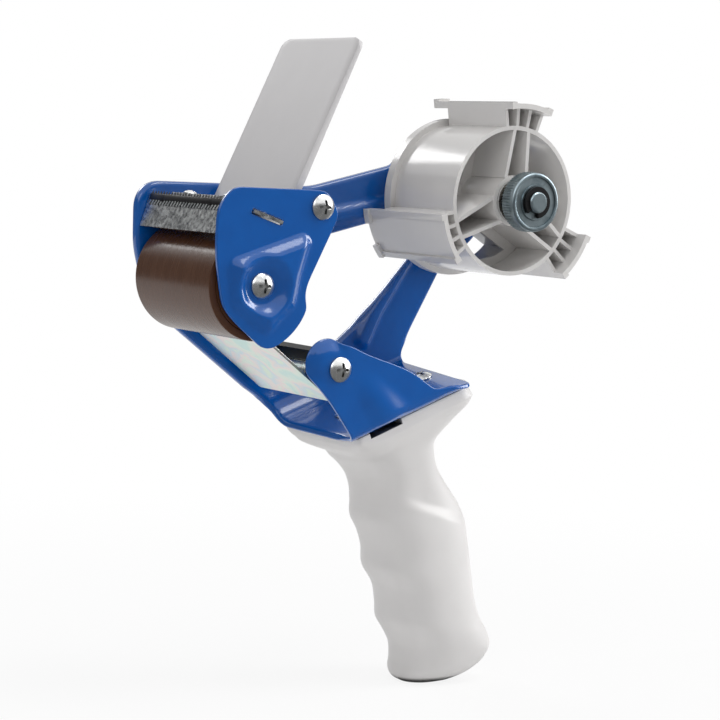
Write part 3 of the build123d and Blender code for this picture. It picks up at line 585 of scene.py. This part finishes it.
# %% Shape of the cheek's raised field
raised = 3.0
raised_corners = np.array([(-131.9, -25.6), (-96.6, -13.4), (-101.8, -31.0), (-103.4, -41.0),
                           (-114.6, -52.2), (-130.2, -41.5)])
raised_radius = 3.5
dish_floor, dish_rim = 6.2, 11.6
flank, flank_shoulder = (-0.7, 4.5), 0.2
slot_at, slot_half = np.array([-117.2, -9.9]), (6.6, 1.0)
holder_pitch = radians(17.0)
holder_along = np.array([cos(holder_pitch), -sin(holder_pitch)])
holder_up = np.array([sin(holder_pitch), cos(holder_pitch)])


def unit(way):
    """A direction of length 1."""
    return way / np.hypot(*way)


def corner_arc(corner, back, ahead, radius, parts):
    """Places on the arc that rounds a corner between two directions."""
    back, ahead = unit(back), unit(ahead)
    half = np.arccos(np.clip(back @ ahead, -1, 1)) / 2
    centre = corner + unit(back + ahead) * radius / sin(half)
    start, stop = (atan2(*(corner + way * radius / tan(half) - centre)[::-1])
                   for way in (back, ahead))
    turn = (stop - start + pi) % (2 * pi) - pi
    angles = start + turn * np.arange(parts + 1) / parts
    return centre + radius * np.column_stack([np.cos(angles), np.sin(angles)])


def holder_point(along, up):
    """A place in the blade holder's plane, in x and z."""
    return slot_at + holder_along * along + holder_up * up


def ramp_step(low, high, value, shoulder):
    """A rise from 0 to 1 that is straight but for its rounded shoulders."""
    t = np.clip((value - low) / (high - low), 0, 1)
    foot = t ** 2 / (2 * shoulder * (1 - shoulder))
    head = 1 - (1 - t) ** 2 / (2 * shoulder * (1 - shoulder))
    slope = (t - shoulder / 2) / (1 - shoulder)
    return np.where(t < shoulder, foot, np.where(t > 1 - shoulder, head, slope))


def cheek_height(points):
    """How far the raised field and its dish stand out of a cheek."""
    field = ramp_step(*flank, edge_distance(points, raised_field), flank_shoulder)
    away = np.hypot(*(points - roller_at).T)
    return raised * field * soft_step(dish_floor, dish_rim, away)


neighbours = zip(raised_corners, np.roll(raised_corners, 1, axis=0),
                 np.roll(raised_corners, -1, axis=0))
raised_field = even_steps(np.vstack([
    corner_arc(corner, before - corner, after - corner, raised_radius, 8)
    for corner, before, after in neighbours]), 1.0)
tab_slot = even_steps(np.array([holder_point(x * slot_half[0], z * slot_half[1])
                                for x, z in square]), 0.5)
print("raised field", np.round(raised_field.max(0) - raised_field.min(0), 1), "mm")

# %% Press the near cheek
blank_step = 1.1
cheek_outline = soften(even_steps(loops_at("head_cheek", -half_gap)[0], 1.0), 3)


def near_cheek_place(blank, down):
    """The outer skin of the near cheek."""
    y = -half_gap - sheet - cheek_height(blank) + down
    return np.column_stack([blank[:, 0], y, blank[:, 1]])


flat_rims = [np.zeros(len(ring)) for ring in (cheek_outline, tab_slot)]
points, faces = sheet_shell(cheek_outline, [tab_slot], flat_rims, blank_step, near_cheek_place)
cheek = make_piece("pressed_cheek", points, faces, enamel, "root", crisp=60, closed=False)
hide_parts("head_cheek")

# %% [markdown]
# The frame itself is one blank, folded twice. Below the far wall comes the first fold, then
# the base plate, then the second fold and the near ear. The blank is laid out flat with u
# along the base plate and v across it, and one function folds it: v turns into a path that
# runs down the wall, round an arc, across the plate, round the next arc and up the ear.

# %% Fold the frame's blank
base_front = np.array([-69.5, -88.4])
base_pitch = radians(21.4)
base_along = np.array([cos(base_pitch), sin(base_pitch)])
base_above = np.array([-sin(base_pitch), cos(base_pitch)])
base_length = 59.0
near_end = 52.5                # the plate is shorter on its near side
far_fold, near_fold = 3.0, 4.0
basin_fold, basin_ends, basin_reach = 9.0, (10.0, 34.0), 16.0
far_arc, near_arc = far_fold * pi / 4, near_fold * pi / 2
near_start = far_arc + 2 * half_gap - far_fold - near_fold
lip_fades = (41.0, 53.0)


def to_base(points):
    """x and z as u along the base plate and w above it."""
    away = points - base_front
    return np.column_stack([away @ base_along, away @ base_above])


def wall_blank(points):
    """Blank coordinates of places on the far wall."""
    u, w = to_base(points).T
    return np.column_stack([u, w - far_fold + far_arc])


def ear_blank(points):
    """Blank coordinates of places on the near ear, from u and w."""
    u, w = points.T
    return np.column_stack([u, -near_start - near_arc - (w - near_fold)])


def fold(blank):
    """Across, above and turn of the folded sheet at places of the blank."""
    u, run = blank[:, 0], -blank[:, 1]
    bent = 1 - soft_step(*lip_fades, u)
    # The far fold is wider at the front, where the lower arm comes down as a soft basin
    radius = basin_fold + (far_fold - basin_fold) * soft_step(*basin_ends, u)
    arc = radius * pi / 4
    first = np.clip((run + arc) / (2 * arc), 0, 1) * pi / 2
    stretch = (basin_reach + far_fold - far_arc - radius) / (basin_reach - arc)
    beside = np.abs(run) - arc
    straight = np.where(beside < basin_reach - arc, np.clip(beside, 0, None) * stretch,
                        beside - (radius - far_fold) - (far_arc - arc))
    past = np.clip(run - near_start, 0, None)
    curve = np.maximum(bent, 1e-4) / near_fold
    second = curve * np.minimum(past, near_arc)
    beyond = np.clip(past - near_arc, 0, None)
    across = half_gap - radius + radius * np.cos(first) - np.where(run > 0, straight, 0)
    across += past - np.sin(second) / curve - beyond * np.cos(second)
    above = radius - radius * np.sin(first) + np.where(run < 0, straight, 0)
    above += (1 - np.cos(second)) / curve + beyond * np.sin(second)
    return across, above, first - pi / 2 + second


# %% [markdown]
# Pressings on the frame: a boss round the shaft and a rib down the leg and along the arm
# stand towards the tape. The far cheek has the same raised field as the near one, outwards.
# The ear swells out towards its foot as a gusset does, and its lobe is rolled in at the edge.

# %% Shape of the frame's pressings
leg_rib = np.array([(-14.0, -24.0), (-28.0, -46.0), (-33.5, -58.0)])
arm_rib = np.array([(-22.0, -4.5), (-52.0, -10.5), (-76.0, -11.5)])
rib_height, rib_top, rib_foot = 1.9, 1.3, 4.7
boss_height, boss_top, boss_foot = 3.0, 11.0, 16.0
gusset_foot, gusset_top = np.array([14.5, -3.0]), np.array([3.0, 24.0])
gusset_half, gusset_height = (12.5, 5.0), 1.8
gusset_ends, gusset_rise = (0.3, 1.0), 0.35
lobe_roll, lobe_reach, lobe_from, lobe_upto = 2.6, 6.5, (24.0, 31.0), (-3.0, 3.0)
hub_end_r = 25.5
ear_loop = loops_at("main_frame", -half_gap)[0]
ear_lobe = to_base(even_steps(ear_loop, 2.0))


def wall_height(blank):
    """How far the boss, the ribs and the raised field stand towards the tape."""
    u, v = blank.T
    place = base_front + np.outer(u, base_along) + np.outer(v + far_fold - far_arc, base_above)
    height = boss_height * (1 - soft_step(boss_top, boss_foot, np.hypot(*place.T)))
    for rib in (leg_rib, arm_rib):
        beside = line_distance(place, rib)
        height = np.maximum(height, rib_height * (1 - soft_step(rib_top, rib_foot, beside)))
    return (height - cheek_height(place)) * (v > far_arc)


def ear_height(blank):
    """How far the ear's lobe is rolled in, less what its foot swells out."""
    u, v = blank.T
    risen = np.column_stack([u, near_fold - (v + near_start + near_arc)])
    axis = gusset_top - gusset_foot
    along = np.clip((risen - gusset_foot) @ axis / (axis @ axis), 0, 1)
    beside = np.abs((risen - gusset_foot) @ np.array([-axis[1], axis[0]])) / np.hypot(*axis)
    half = gusset_half[0] + (gusset_half[1] - gusset_half[0]) * along
    swell = 0.5 + 0.5 * np.cos(pi * np.minimum(1, beside / half))
    swell *= 1 - soft_step(*gusset_ends, along)
    swell *= soft_step(near_start + near_arc * gusset_rise, near_start + near_arc, -v)
    rolled = np.clip(1 - edge_distance(risen, ear_lobe) / lobe_reach, 0, 1) ** 2
    rolled *= soft_step(*lobe_from, risen[:, 1]) * (1 - soft_step(*lobe_upto, u))
    return lobe_roll * rolled * (v < -near_start) - gusset_height * swell


def frame_place(blank, down):
    """The frame's tape-side skin, folded and pressed, in x, y and z."""
    across, above, turn = fold(blank)
    lift = wall_height(blank) + ear_height(blank) - down
    across = across + lift * np.sin(turn)
    above = above + lift * np.cos(turn)
    plane = base_front + np.outer(blank[:, 0], base_along) + np.outer(above, base_above)
    return np.column_stack([plane[:, 0], across, plane[:, 1]])


# %% Cut the blank and press the frame
wall_loops = loops_at("main_frame", half_gap + turn_depth)
ear_edge = to_base(even_steps(ear_loop, 1.0))
in_window = np.array([[-62.0, -38.0]])
turn_fade, front_reach, front_turn = 9, 4, 0.6
window_loop = [loop for loop in wall_loops if edge_distance(in_window, loop)[0] > 0][-1]


def wall_outline(loop):
    """An outline on the wall, pushed out to the round end that stands behind the hub."""
    loop = even_steps(loop, 1.0)
    away = np.hypot(*loop.T)
    pushed = loop * (np.maximum(away, hub_end_r) / np.maximum(away, 1e-6))[:, None]
    return wall_blank(even_steps(pushed, 1.0))


def run_above(loop, keep):
    """The one stretch of a closed loop that a test keeps."""
    start = next(i for i in range(len(loop)) if keep[i] and not keep[i - 1])
    order = np.roll(np.arange(len(loop)), -start)
    return loop[order][keep[order]]


wall_edge = wall_outline(wall_loops[0])
wall_run = run_above(wall_edge, wall_edge[:, 1] > far_arc)
ear_run = ear_blank(run_above(ear_edge, ear_edge[:, 1] > near_fold)[::-1])
front_edge = np.array([(-3.0, -far_arc), (-4.2, -near_start), (-5.4, -near_start - near_arc / 2)])
rear_edge = np.array([(42.0, -near_start - 0.85 * near_arc), (47.5, -near_start - 4.6),
                      (51.0, -near_start - 4.2), (near_end, -near_start - 2.0),
                      (near_end + 0.6, -near_start + 3.0), (base_length, -far_arc)])
outline = soften(even_steps(np.vstack([wall_run, front_edge, ear_run, rear_edge]), 1.0), 4)
window = soften(wall_outline(window_loop), 3)
far_slot = wall_blank(tab_slot)
# The wall's edges are turned all the way, and the plate's front edge over half of the way
at_wall = soft_step(0, turn_fade, outline[:, 1] - far_arc)
at_front = (outline[:, 0] < front_reach) * soft_step(
    -near_start - 1, -near_start + turn_fade, outline[:, 1])
turned = [np.maximum(at_wall, front_turn * at_front), np.ones(len(window)), np.zeros(len(far_slot))]
points, faces = sheet_shell(outline, [window, far_slot], turned, blank_step, frame_place)
body_frame = make_piece("pressed_frame", points, faces, enamel, "root", crisp=60, closed=False)
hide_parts("main_frame")

# %% [markdown]
# The grip is one moulding: a collar that matches the base plate's slope, sweeping into a
# pistol grip with shallow finger hollows. It is lofted through level sections. A section is
# a superellipse, which is an ellipse whose power can rise until it is nearly a rectangle.

# %% Loft the grip
collar_top, collar_bottom = -sheet, -sheet - 5.0
collar_ends, collar_half = (-1.7, 56.6), 25.0
collar_corners, collar_power = (2.5, 9.0), 9.0
collar_edge = 0.8
collar_sections = [
    # u and w of the front and of the rear on the base plate's slope, half width and power
    (-1.5, -6.5, 56.4, -6.5, 25.0, 9.0), (-0.9, -8.6, 55.4, -9.2, 24.4, 6.5),
    (1.3, -10.9, 52.8, -11.8, 22.9, 4.6), (4.4, -13.6, 49.0, -14.8, 21.2, 3.5),
]
grip_sections = [
    # x and z of the front and of the rear, half width and power
    (-58.2, -101.9, -24.0, -91.4, 20.1, 3.0), (-54.9, -104.9, -23.0, -98.0, 19.0, 2.7),
    (-52.5, -108.4, -19.8, -103.9, 17.9, 2.45), (-51.3, -113.1, -14.1, -110.5, 17.2, 2.3),
    (-51.0, -118.4, -8.0, -117.3, 16.9, 2.3), (-50.8, -124.0, -3.6, -124.0, 16.9, 2.3),
    (-47.1, -130.0, -2.1, -130.0, 17.1, 2.3), (-44.5, -136.5, -0.7, -136.5, 17.3, 2.3),
    (-43.4, -144.0, 0.8, -144.0, 17.4, 2.3), (-38.0, -151.5, 2.2, -151.5, 17.4, 2.3),
    (-36.0, -159.0, 4.1, -159.0, 17.6, 2.3), (-35.3, -165.0, 7.0, -165.0, 17.6, 2.3),
    (-31.8, -170.0, 10.5, -170.0, 17.5, 2.3), (-28.6, -175.5, 12.7, -175.5, 17.0, 2.3),
    (-28.1, -181.0, 10.2, -181.0, 15.8, 2.3), (-28.6, -185.5, 3.6, -185.5, 13.6, 2.4),
    (-27.6, -188.4, -3.4, -188.6, 10.0, 2.4), (-25.0, -189.9, -8.0, -189.9, 6.5, 2.2),
]
around = np.linspace(0, 2 * pi, 129)[:-1]


def on_base(u, w):
    """x and z of a place along the base plate and above it."""
    return base_front + base_along * u + base_above * w


def smooth_rows(rows, count):
    """Rows of numbers, interpolated with a Catmull-Rom curve."""
    rows = np.array(rows, float)
    ends = np.vstack([2 * rows[0] - rows[1], rows, 2 * rows[-1] - rows[-2]])
    made = []
    for at in np.linspace(0, len(rows) - 1, count):
        i = min(int(at), len(rows) - 2)
        t = at - i
        a, b, c, d = ends[i:i + 4]
        made.append(0.5 * (2 * b + (c - a) * t + (2 * a - 5 * b + 4 * c - d) * t ** 2
                           + (3 * b - a - 3 * c + d) * t ** 3))
    return np.array(made)


def superellipse(power):
    """Shares of the half length and the half width, all the way round."""
    c, s = np.cos(around), np.sin(around)
    return np.sign(c) * np.abs(c) ** (2 / power), np.sign(s) * np.abs(s) ** (2 / power)


def collar_row(inset, height, blend_to=0.0):
    """The collar's outline at one height, blended towards the first section of the sweep."""
    low, high = collar_ends[0] + inset, collar_ends[1] - inset
    middle, half = (low + high) / 2, np.array([(high - low) / 2, collar_half - inset])
    places = []
    for f, s in zip(*superellipse(collar_power)):
        radius = max(collar_corners[f > 0] - inset, 0.1)
        inner = half - radius
        ray = np.array([f * half[0], s * half[1]])
        corner = np.sign(ray) * inner
        # The ray meets a side, or the arc of the corner beyond its centre
        hit = ray * min(half[k] / max(abs(ray[k]), 1e-9) for k in (0, 1))
        if abs(hit[0]) > inner[0] and abs(hit[1]) > inner[1]:
            b, length = ray @ corner, ray @ ray
            hit = ray * (b + sqrt(b * b - length * (corner @ corner - radius ** 2))) / length
        places.append(hit * (1 - blend_to) + ray * blend_to)
    places = np.array(places)
    level = np.array([on_base(middle + u, height) for u in places[:, 0]])
    return np.column_stack([level[:, 0], places[:, 1], level[:, 1]])


# The thumb rests in a hollow that starts at a sloping ledge and fades upwards and forwards
thumb_ledge, thumb_slope, thumb_depth = (-38.5, -117.6), -0.27, 1.7
thumb_foot, thumb_top = (-1.5, 3.5), (4.0, 22.0)
thumb_front, thumb_side = (-46, -30), (0.3, 0.9)


def thumb_hollow(level, side):
    """How deep the thumb's hollow is, at places of the grip and shares of its half width."""
    x, z = level.T
    above = z - (thumb_ledge[1] + thumb_slope * (x - thumb_ledge[0]))
    sink = soft_step(*thumb_foot, above) * (1 - soft_step(*thumb_top, above))
    return thumb_depth * sink * soft_step(*thumb_front, x) * soft_step(*thumb_side, np.abs(side))


def grip_row(x_front, z_front, x_rear, z_rear, half, power):
    """One section of the grip between two places."""
    fore, side = superellipse(power)
    middle = np.array([(x_front + x_rear) / 2, (z_front + z_rear) / 2])
    level = middle + np.outer(fore, np.array([x_rear - x_front, z_rear - z_front]) / 2)
    return np.column_stack([level[:, 0], side * (half - thumb_hollow(level, side)), level[:, 1]])


rows = [collar_row(collar_edge * (1 - sin(turn)), collar_top - collar_edge * (1 - cos(turn)))
        for turn in np.linspace(0, pi / 2, 5)]
heights = np.linspace(collar_top - collar_edge - 0.4, collar_bottom + 0.5, 5)
rows += [collar_row(0, height, share) for height, share in zip(heights, (0, 0, 0.1, 0.35, 0.7))]
keys = [[*on_base(front_u, front_w), *on_base(rear_u, rear_w), half, power]
        for front_u, front_w, rear_u, rear_w, half, power in collar_sections]
rows += [grip_row(*key) for key in smooth_rows(keys + grip_sections, 190)]
count = len(around)
levels = np.arange(len(rows) * count).reshape(len(rows), count)
faces = [face for low, high in zip(levels, levels[1:]) for face in strip(low, high, False)]
faces += [tuple(levels[0]), tuple(levels[-1][::-1])]

# The ear's foot needs room, so the collar has a notch in its top edge on the near side
notch_span, notch_across, notch_depth = (4.5, 19.5), (-34.0, -8.0), 2.4
corners = [(on_base(u, w)[0], y, on_base(u, w)[1]) for u, y, w in
           product(notch_span, notch_across, (-sheet - notch_depth, -sheet + 2.0))]
cutter = mesh_object("notch", corners, box_faces)
grip = make_piece("moulded_grip", np.vstack(rows), faces, grip_plastic, "root",
                  [("BOOLEAN", {"object": cutter, "solver": "EXACT"})], crisp=50)
bpy.data.objects.remove(cutter)
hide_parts("handle")

# %% [markdown]
# The wiper flap is a strip of flexible plastic, clamped flat behind the blade and bent up.
# It is one mesh that crosses the joint; here it is made in place and attached to no body.

# %% Bend the flap
flap_lean = radians(23.9)
flap_up = np.array([sin(flap_lean), cos(flap_lean)])
flap_width, flap_height, flap_corner, flap_bend_radius = 52.0, 66.0, 4.0, 4.0
foot_low, foot_front = 0.6, -12.5
foot_sheet, bend_sheet, tip_sheet = 1.4, 3.0, 1.9
arc_parts, rise_parts = 10, 60


def patch(grid):
    """Faces between neighbours in a grid of point numbers."""
    corners = grid[:-1, :-1], grid[:-1, 1:], grid[1:, 1:], grid[1:, :-1]
    return list(zip(*(c.ravel() for c in corners)))


foot_start = holder_point(foot_front, foot_low + foot_sheet / 2)
flap_side = np.array([-flap_up[1], flap_up[0]])
meeting = foot_start + (
    holder_along * ((bend_at - foot_start) @ flap_side) / (holder_along @ flap_side))
arc = corner_arc(meeting, -holder_along, flap_up, flap_bend_radius, arc_parts)
rise = np.arange(1, rise_parts + 1)[:, None] / rise_parts
line = np.vstack([foot_start, arc, arc[-1] + (bend_at + flap_up * flap_height - arc[-1]) * rise])
run = run_along(line)
tangent = np.gradient(line, run, axis=0)
tangent /= np.hypot(*tangent.T)[:, None]
across = np.column_stack([-tangent[:, 1], tangent[:, 0]])
thick = np.interp(run, [0, run[1], run[arc_parts + 2], run[-1]],
                  [foot_sheet, foot_sheet, bend_sheet, tip_sheet])
to_tip = run[-1] - run
corner_cut = flap_corner - np.sqrt(np.clip(2 * flap_corner * to_tip - to_tip ** 2, 0, None))
half_width = flap_width / 2 - np.where(to_tip < flap_corner, corner_cut, 0)
columns = np.linspace(-1, 1, 15)
points = [(x, y * half, z) for side in (-1, 1)
          for (x, z), half in zip(line + side * across * thick[:, None] / 2, half_width)
          for y in columns]
grid = np.arange(len(points)).reshape(2, len(line), len(columns))
faces = [face for part in (*grid, grid[:, :, 0], grid[:, :, -1], grid[:, 0], grid[:, -1])
         for face in patch(part)]
flap = make_piece("wiper_strip", points, faces, flap_plastic, None, [bevel(0.25, 60)], crisp=50)
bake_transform(flap)
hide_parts("flap_foot", "wiper_flap")

# %% [markdown]
# The blade has fine teeth along its upper edge and slanted, freshly ground ones along its
# lower edge, which shine under the black band. A node tree sets one tooth on every step of a
# line along each edge, so the pitch is a number and not fifty copies.

# %% Grind the blade's teeth
blade_top, band_foot, blade_foot, blade_sheet = 0.5, -1.7, -3.7, 0.6
tooth_pitch, tooth_count, tooth_lean = 2.0, 26, 0.5
fine_tooth, ground_tooth = (0.35, 1.4, 1.4), (0.3, 0.62, 2.0)
holder_reach = 16.5
crisp_angle = radians(35)


def new_tree(name, *more):
    """A node tree that takes and gives geometry; returns it and what it is given."""
    tree = bpy.data.node_groups.new(name, "GeometryNodeTree")
    for way in ("INPUT", "OUTPUT"):
        tree.interface.new_socket("Geometry", in_out=way, socket_type="NodeSocketGeometry")
    for title, kind, value in more:
        socket = tree.interface.new_socket(title, in_out="INPUT", socket_type="NodeSocket" + kind)
        socket.default_value = value
    return tree, add_node(tree, "NodeGroupInput").outputs


def tooth_tree():
    """A tree that adds a row of upper and a row of lower teeth to the blade's band."""
    tree, given = new_tree("blade_teeth", ("Count", "Int", tooth_count),
                           ("Pitch", "Float", tooth_pitch * MM), ("Lean", "Float", tooth_lean))
    thin, wide, tall = fine_tooth
    cone = add_node(tree, "GeometryNodeMeshCone", {
        "Vertices": 4, "Radius Top": 0.0, "Radius Bottom": wide / sqrt(2) * MM, "Depth": tall * MM})
    turned = add_node(tree, "GeometryNodeTransform", {"Rotation": (0, 0, pi / 4)},
                      {"Geometry": cone.outputs["Mesh"]})
    upper = add_node(tree, "GeometryNodeTransform", {"Scale": (thin / wide, 1, 1)},
                     {"Geometry": turned.outputs[0]})
    lower = add_node(tree, "GeometryNodeMeshCube", {"Size": [MM * s for s in ground_tooth]})
    step = add_node(tree, "ShaderNodeCombineXYZ", links={"Y": given["Pitch"]})
    lean = add_node(tree, "ShaderNodeCombineXYZ", links={"X": given["Lean"]})
    parts = [given["Geometry"]]
    for height, tooth, angles, material in (
        (blade_top, upper, {}, black_oxide),
        ((band_foot + blade_foot) / 2, lower, {"Rotation": lean.outputs[0]}, ground_steel),
    ):
        start = (0, -tooth_pitch * (tooth_count - 1) / 2 * MM, height * MM)
        row = add_node(tree, "GeometryNodeMeshLine", {"Start Location": start},
                       {"Count": given["Count"], "Offset": step.outputs[0]})
        teeth = add_node(tree, "GeometryNodeInstanceOnPoints", links={
            "Points": row.outputs["Mesh"], "Instance": tooth.outputs[0], **angles})
        solid = add_node(tree, "GeometryNodeRealizeInstances", links={"Geometry": teeth.outputs[0]})
        parts.append(add_node(tree, "GeometryNodeSetMaterial", {"Material": material},
                              {"Geometry": solid.outputs[0]}).outputs[0])
    join = add_node(tree, "GeometryNodeJoinGeometry")
    for part in reversed(parts):
        tree.links.new(part, join.inputs[0])
    add_node(tree, "NodeGroupOutput", links={0: join.outputs[0]})
    return tree


blade_half = tooth_pitch * tooth_count / 2
corners = product((-blade_sheet / 2, blade_sheet / 2), (-blade_half, blade_half),
                  (band_foot, blade_top))
blade = make_piece("toothed_blade", corners, box_faces, black_oxide, None, [bevel(0.12, 40)])
blade.modifiers.new("Teeth", "NODES").node_group = tooth_tree()
keep_result(blade)
blade_middle = slot_at - holder_along * (holder_reach + blade_sheet / 2)
blade.data.transform(Matrix.Translation(Vector((blade_middle[0], 0, blade_middle[1])) * MM)
                     @ Matrix.Rotation(holder_pitch, 4, "Y"))
blade.data.shade_smooth()
blade.data.set_sharp_from_angle(angle=crisp_angle)
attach(blade, "root")
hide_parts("blade")

# %% [markdown]
# The other nodes have their right shape already. They get a finish, and modifiers that don't
# touch their mesh: the loose triangles are welded, sharp edges are broken, gentle ones are
# shaded smooth, and broad faces keep their own normals next to the narrow broken edges.


def smooth_tree():
    """A tree that shades all but the sharp edges smooth."""
    tree, given = new_tree("smooth_by_angle", ("Angle", "Float", crisp_angle))
    smooth = add_node(tree, "GeometryNodeSetShadeSmooth", links={"Geometry": given["Geometry"]})
    angle = add_node(tree, "GeometryNodeInputMeshEdgeAngle")
    flat = add_node(tree, "FunctionNodeCompare", links={0: angle.outputs["Unsigned Angle"],
                                                        1: given["Angle"]},
                    data_type="FLOAT", operation="LESS_EQUAL")
    edges = add_node(tree, "GeometryNodeSetShadeSmooth", links={
        "Geometry": smooth.outputs[0], "Shade Smooth": flat.outputs[0]}, domain="EDGE")
    add_node(tree, "NodeGroupOutput", links={0: edges.outputs[0]})
    return tree


smooth_by_angle = smooth_tree()


def carry(node, material, edge):
    """Show a CAD node with a finish, welded, its edges broken and its broad faces shaded true."""
    obj = frame["nodes"][node]
    add_modifier(obj, "WELD", {"merge_threshold": closeness * MM})
    if edge:
        add_modifier(obj, *bevel(edge, 40))
    obj.modifiers.new("Smooth", "NODES").node_group = smooth_by_angle
    add_modifier(obj, "WEIGHTED_NORMAL", {"mode": "FACE_AREA", "weight": 80, "keep_sharp": True})
    obj.data.materials.clear()
    obj.data.materials.append(material)


# Each finish, with its nodes and how far their edges are broken
for material, edges in (
    (bright_zinc, {"spacer_rod": 0.2, "roller_axle": 0.2, "pivot_rod": 0.2, "pan_screws": 0.12,
                   "clamp_screws": 0.1, "handle_screws": 0.12, "thrust_washer": 0.1,
                   "brake_washer": 0.1, "shaft_nut": 0.3}),
    (turned_zinc, {"hub_shaft": 0.1, "brake_nut": 0.08}),
    (holder_zinc, {"blade_holder": 0.3, "clamp_bar": 0.2}),
    (rainbow_zinc, {"tape_plate": 0.2}),
    (black_oxide, {"blade_rivets": 0.1, "retaining_clip": 0.1}),
    (spring_steel, {"plate_spring": 0, "brake_spring": 0}),
    (roller_brown, {"roller_sleeve": 0.5, "roller_core": 0.3}),
    (black_nylon, {"hold_back": 0.4, "rear_washer": 0.1}),
    (hub_plastic, {"core_hub": 0.25}),
):
    for node, edge in edges.items():
        carry(node, material, edge)
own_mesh(frame["nodes"]["brake_spring"])
print("finished", len(frame["nodes"]), "nodes")

# %% [markdown]
# The stage is a pale floor under soft studio light. The floor near the object takes part in
# the shading, so it shows the object's shadow; further away it fades into the white world,
# which camera and mirror rays see at strength 1, so there is no horizon.

# %% Floor and world
floor_z = cad_box[0][2] / MM
floor_size = 6000.0
fade_from, fade_to, least_glow = 100.0, 550.0, 0.86
fill_light = 0.32


def stage_faces(name, points, faces, material):
    """Faces that belong to the studio, not to the object."""
    obj = mesh_object(name, points, faces)
    obj.data.materials.append(material)
    return obj


def seen_ray(tree):
    """1 for rays of the camera and of mirrors, and 0 for others."""
    rays = add_node(tree, "ShaderNodeLightPath").outputs
    seen = rays["Is Camera Ray"]
    for kind in ("Is Glossy Ray", "Is Transmission Ray"):
        seen = add_node(tree, "ShaderNodeMath", links={0: seen, 1: rays[kind]},
                        operation="MAXIMUM").outputs[0]
    return seen


pale_floor, tree, shader = new_finish("pale_floor", Roughness=0.9, Base_Color=linear("#F2F2F2"))
place = add_node(tree, "ShaderNodeTexCoord").outputs["Object"]
away = add_node(tree, "ShaderNodeVectorMath", links={0: place}, operation="LENGTH").outputs["Value"]
faded = spread(tree, away, least_glow, 1.0, fade_from * MM, fade_to * MM,
               interpolation_type="SMOOTHSTEP")
share = add_node(tree, "ShaderNodeMath", links={0: faded, 1: seen_ray(tree)}, operation="MULTIPLY")
glow = add_node(tree, "ShaderNodeEmission", {"Strength": 1.0})
mixed = add_node(tree, "ShaderNodeMixShader", links={
    0: share.outputs["Value"], 1: shader.outputs["BSDF"], 2: glow.outputs["Emission"]})
tree.links.new(mixed.outputs["Shader"], tree.nodes["Material Output"].inputs["Surface"])
corners = [(x * floor_size, y * floor_size, floor_z) for x, y in square]
stage_faces("studio_floor", corners, [range(4)], pale_floor)

world = bpy.data.worlds.new("studio")
bpy.context.scene.world = world
world.use_nodes = True
tree = world.node_tree
backdrop = tree.nodes["Background"]
backdrop.inputs["Color"].default_value = (1, 1, 1, 1)
tree.links.new(spread(tree, seen_ray(tree), fill_light, 1.0), backdrop.inputs["Strength"])

# %% [markdown]
# Shiny things are photographed between dark cards, or they mirror a white room and turn
# milky. Here a ring of grey card stands round the stage, and half of its floor is covered.
# Only mirror rays see it, so it neither shades the object nor hides it from the camera.

# %% Cards for the reflections
card_reach, card_top, card_sides, card_lift, card_light = 1500.0, 520.0, 32, 0.5, 0.17
grey_card, tree, _ = new_finish("grey_card")
card_glow = add_node(tree, "ShaderNodeEmission", {"Strength": card_light})
tree.links.new(card_glow.outputs["Emission"], tree.nodes["Material Output"].inputs["Surface"])
turns = 2 * pi * np.arange(card_sides) / card_sides
points = [(card_reach * cos(turn), card_reach * sin(turn), z)
          for z in (floor_z, card_top, floor_z + card_lift) for turn in turns]
number = np.arange(len(points)).reshape(3, card_sides)
faces = strip(number[0], number[1], False) + [[number[2][0], *number[2][card_sides // 2:]]]
cards = stage_faces("grey_cards", points, faces, grey_card)
for kind in ("camera", "diffuse", "transmission", "volume_scatter", "shadow"):
    setattr(cards, "visible_" + kind, False)

# %% Lamps
lit_place = Vector((-0.05, 0, -0.07))


def softbox(name, place, size, radiance):
    """A rectangular lamp that faces the object's middle. Places and sizes are in metres."""
    lamp = bpy.data.lights.new(name, "AREA")
    lamp.shape = "RECTANGLE"
    lamp.size, lamp.size_y = size
    lamp.energy = radiance * pi * size[0] * size[1]
    obj = bpy.data.objects.new(name, lamp)
    obj.location = place
    obj.rotation_euler = (lit_place - Vector(place)).to_track_quat("-Z", "Y").to_euler()
    bpy.context.scene.collection.objects.link(obj)


softbox("side", (1.0, -0.42, 0.36), (0.5, 0.75), 6.5)
softbox("overhead", (0.2, -0.3, 0.95), (0.5, 0.42), 4.8)
softbox("rear", (-0.2, 0.9, 0.53), (0.4, 0.22), 7.0)
softbox("front", (-0.9, -0.5, 0.45), (0.6, 0.5), 1.5)
print("lit")

# %% [markdown]
# The camera stands where the photographer's did. Its place and its three directions are in
# the object's own frame, in millimetres, so the matrix is filled in column by column.

# %% Camera
camera_at = Vector((-543.6, -702.1, 6.75)) * MM
camera_right = Vector((0.8213, -0.5676, 0.0568)).normalized()
camera_back = Vector((-0.5704, -0.8173, 0.0818)).normalized()
camera_up = camera_back.cross(camera_right)
lens = bpy.data.cameras.new("studio_camera")
lens.lens, lens.sensor_width = 112.8, 36.0
lens.clip_end = 50
camera = bpy.data.objects.new("studio_camera", lens)
camera.matrix_world = Matrix.Translation(camera_at) @ Matrix(
    (camera_right, camera_up, camera_back)).transposed().to_4x4()
bpy.context.scene.collection.objects.link(camera)
bpy.context.scene.camera = camera
bpy.context.scene.view_settings.view_transform = "Standard"
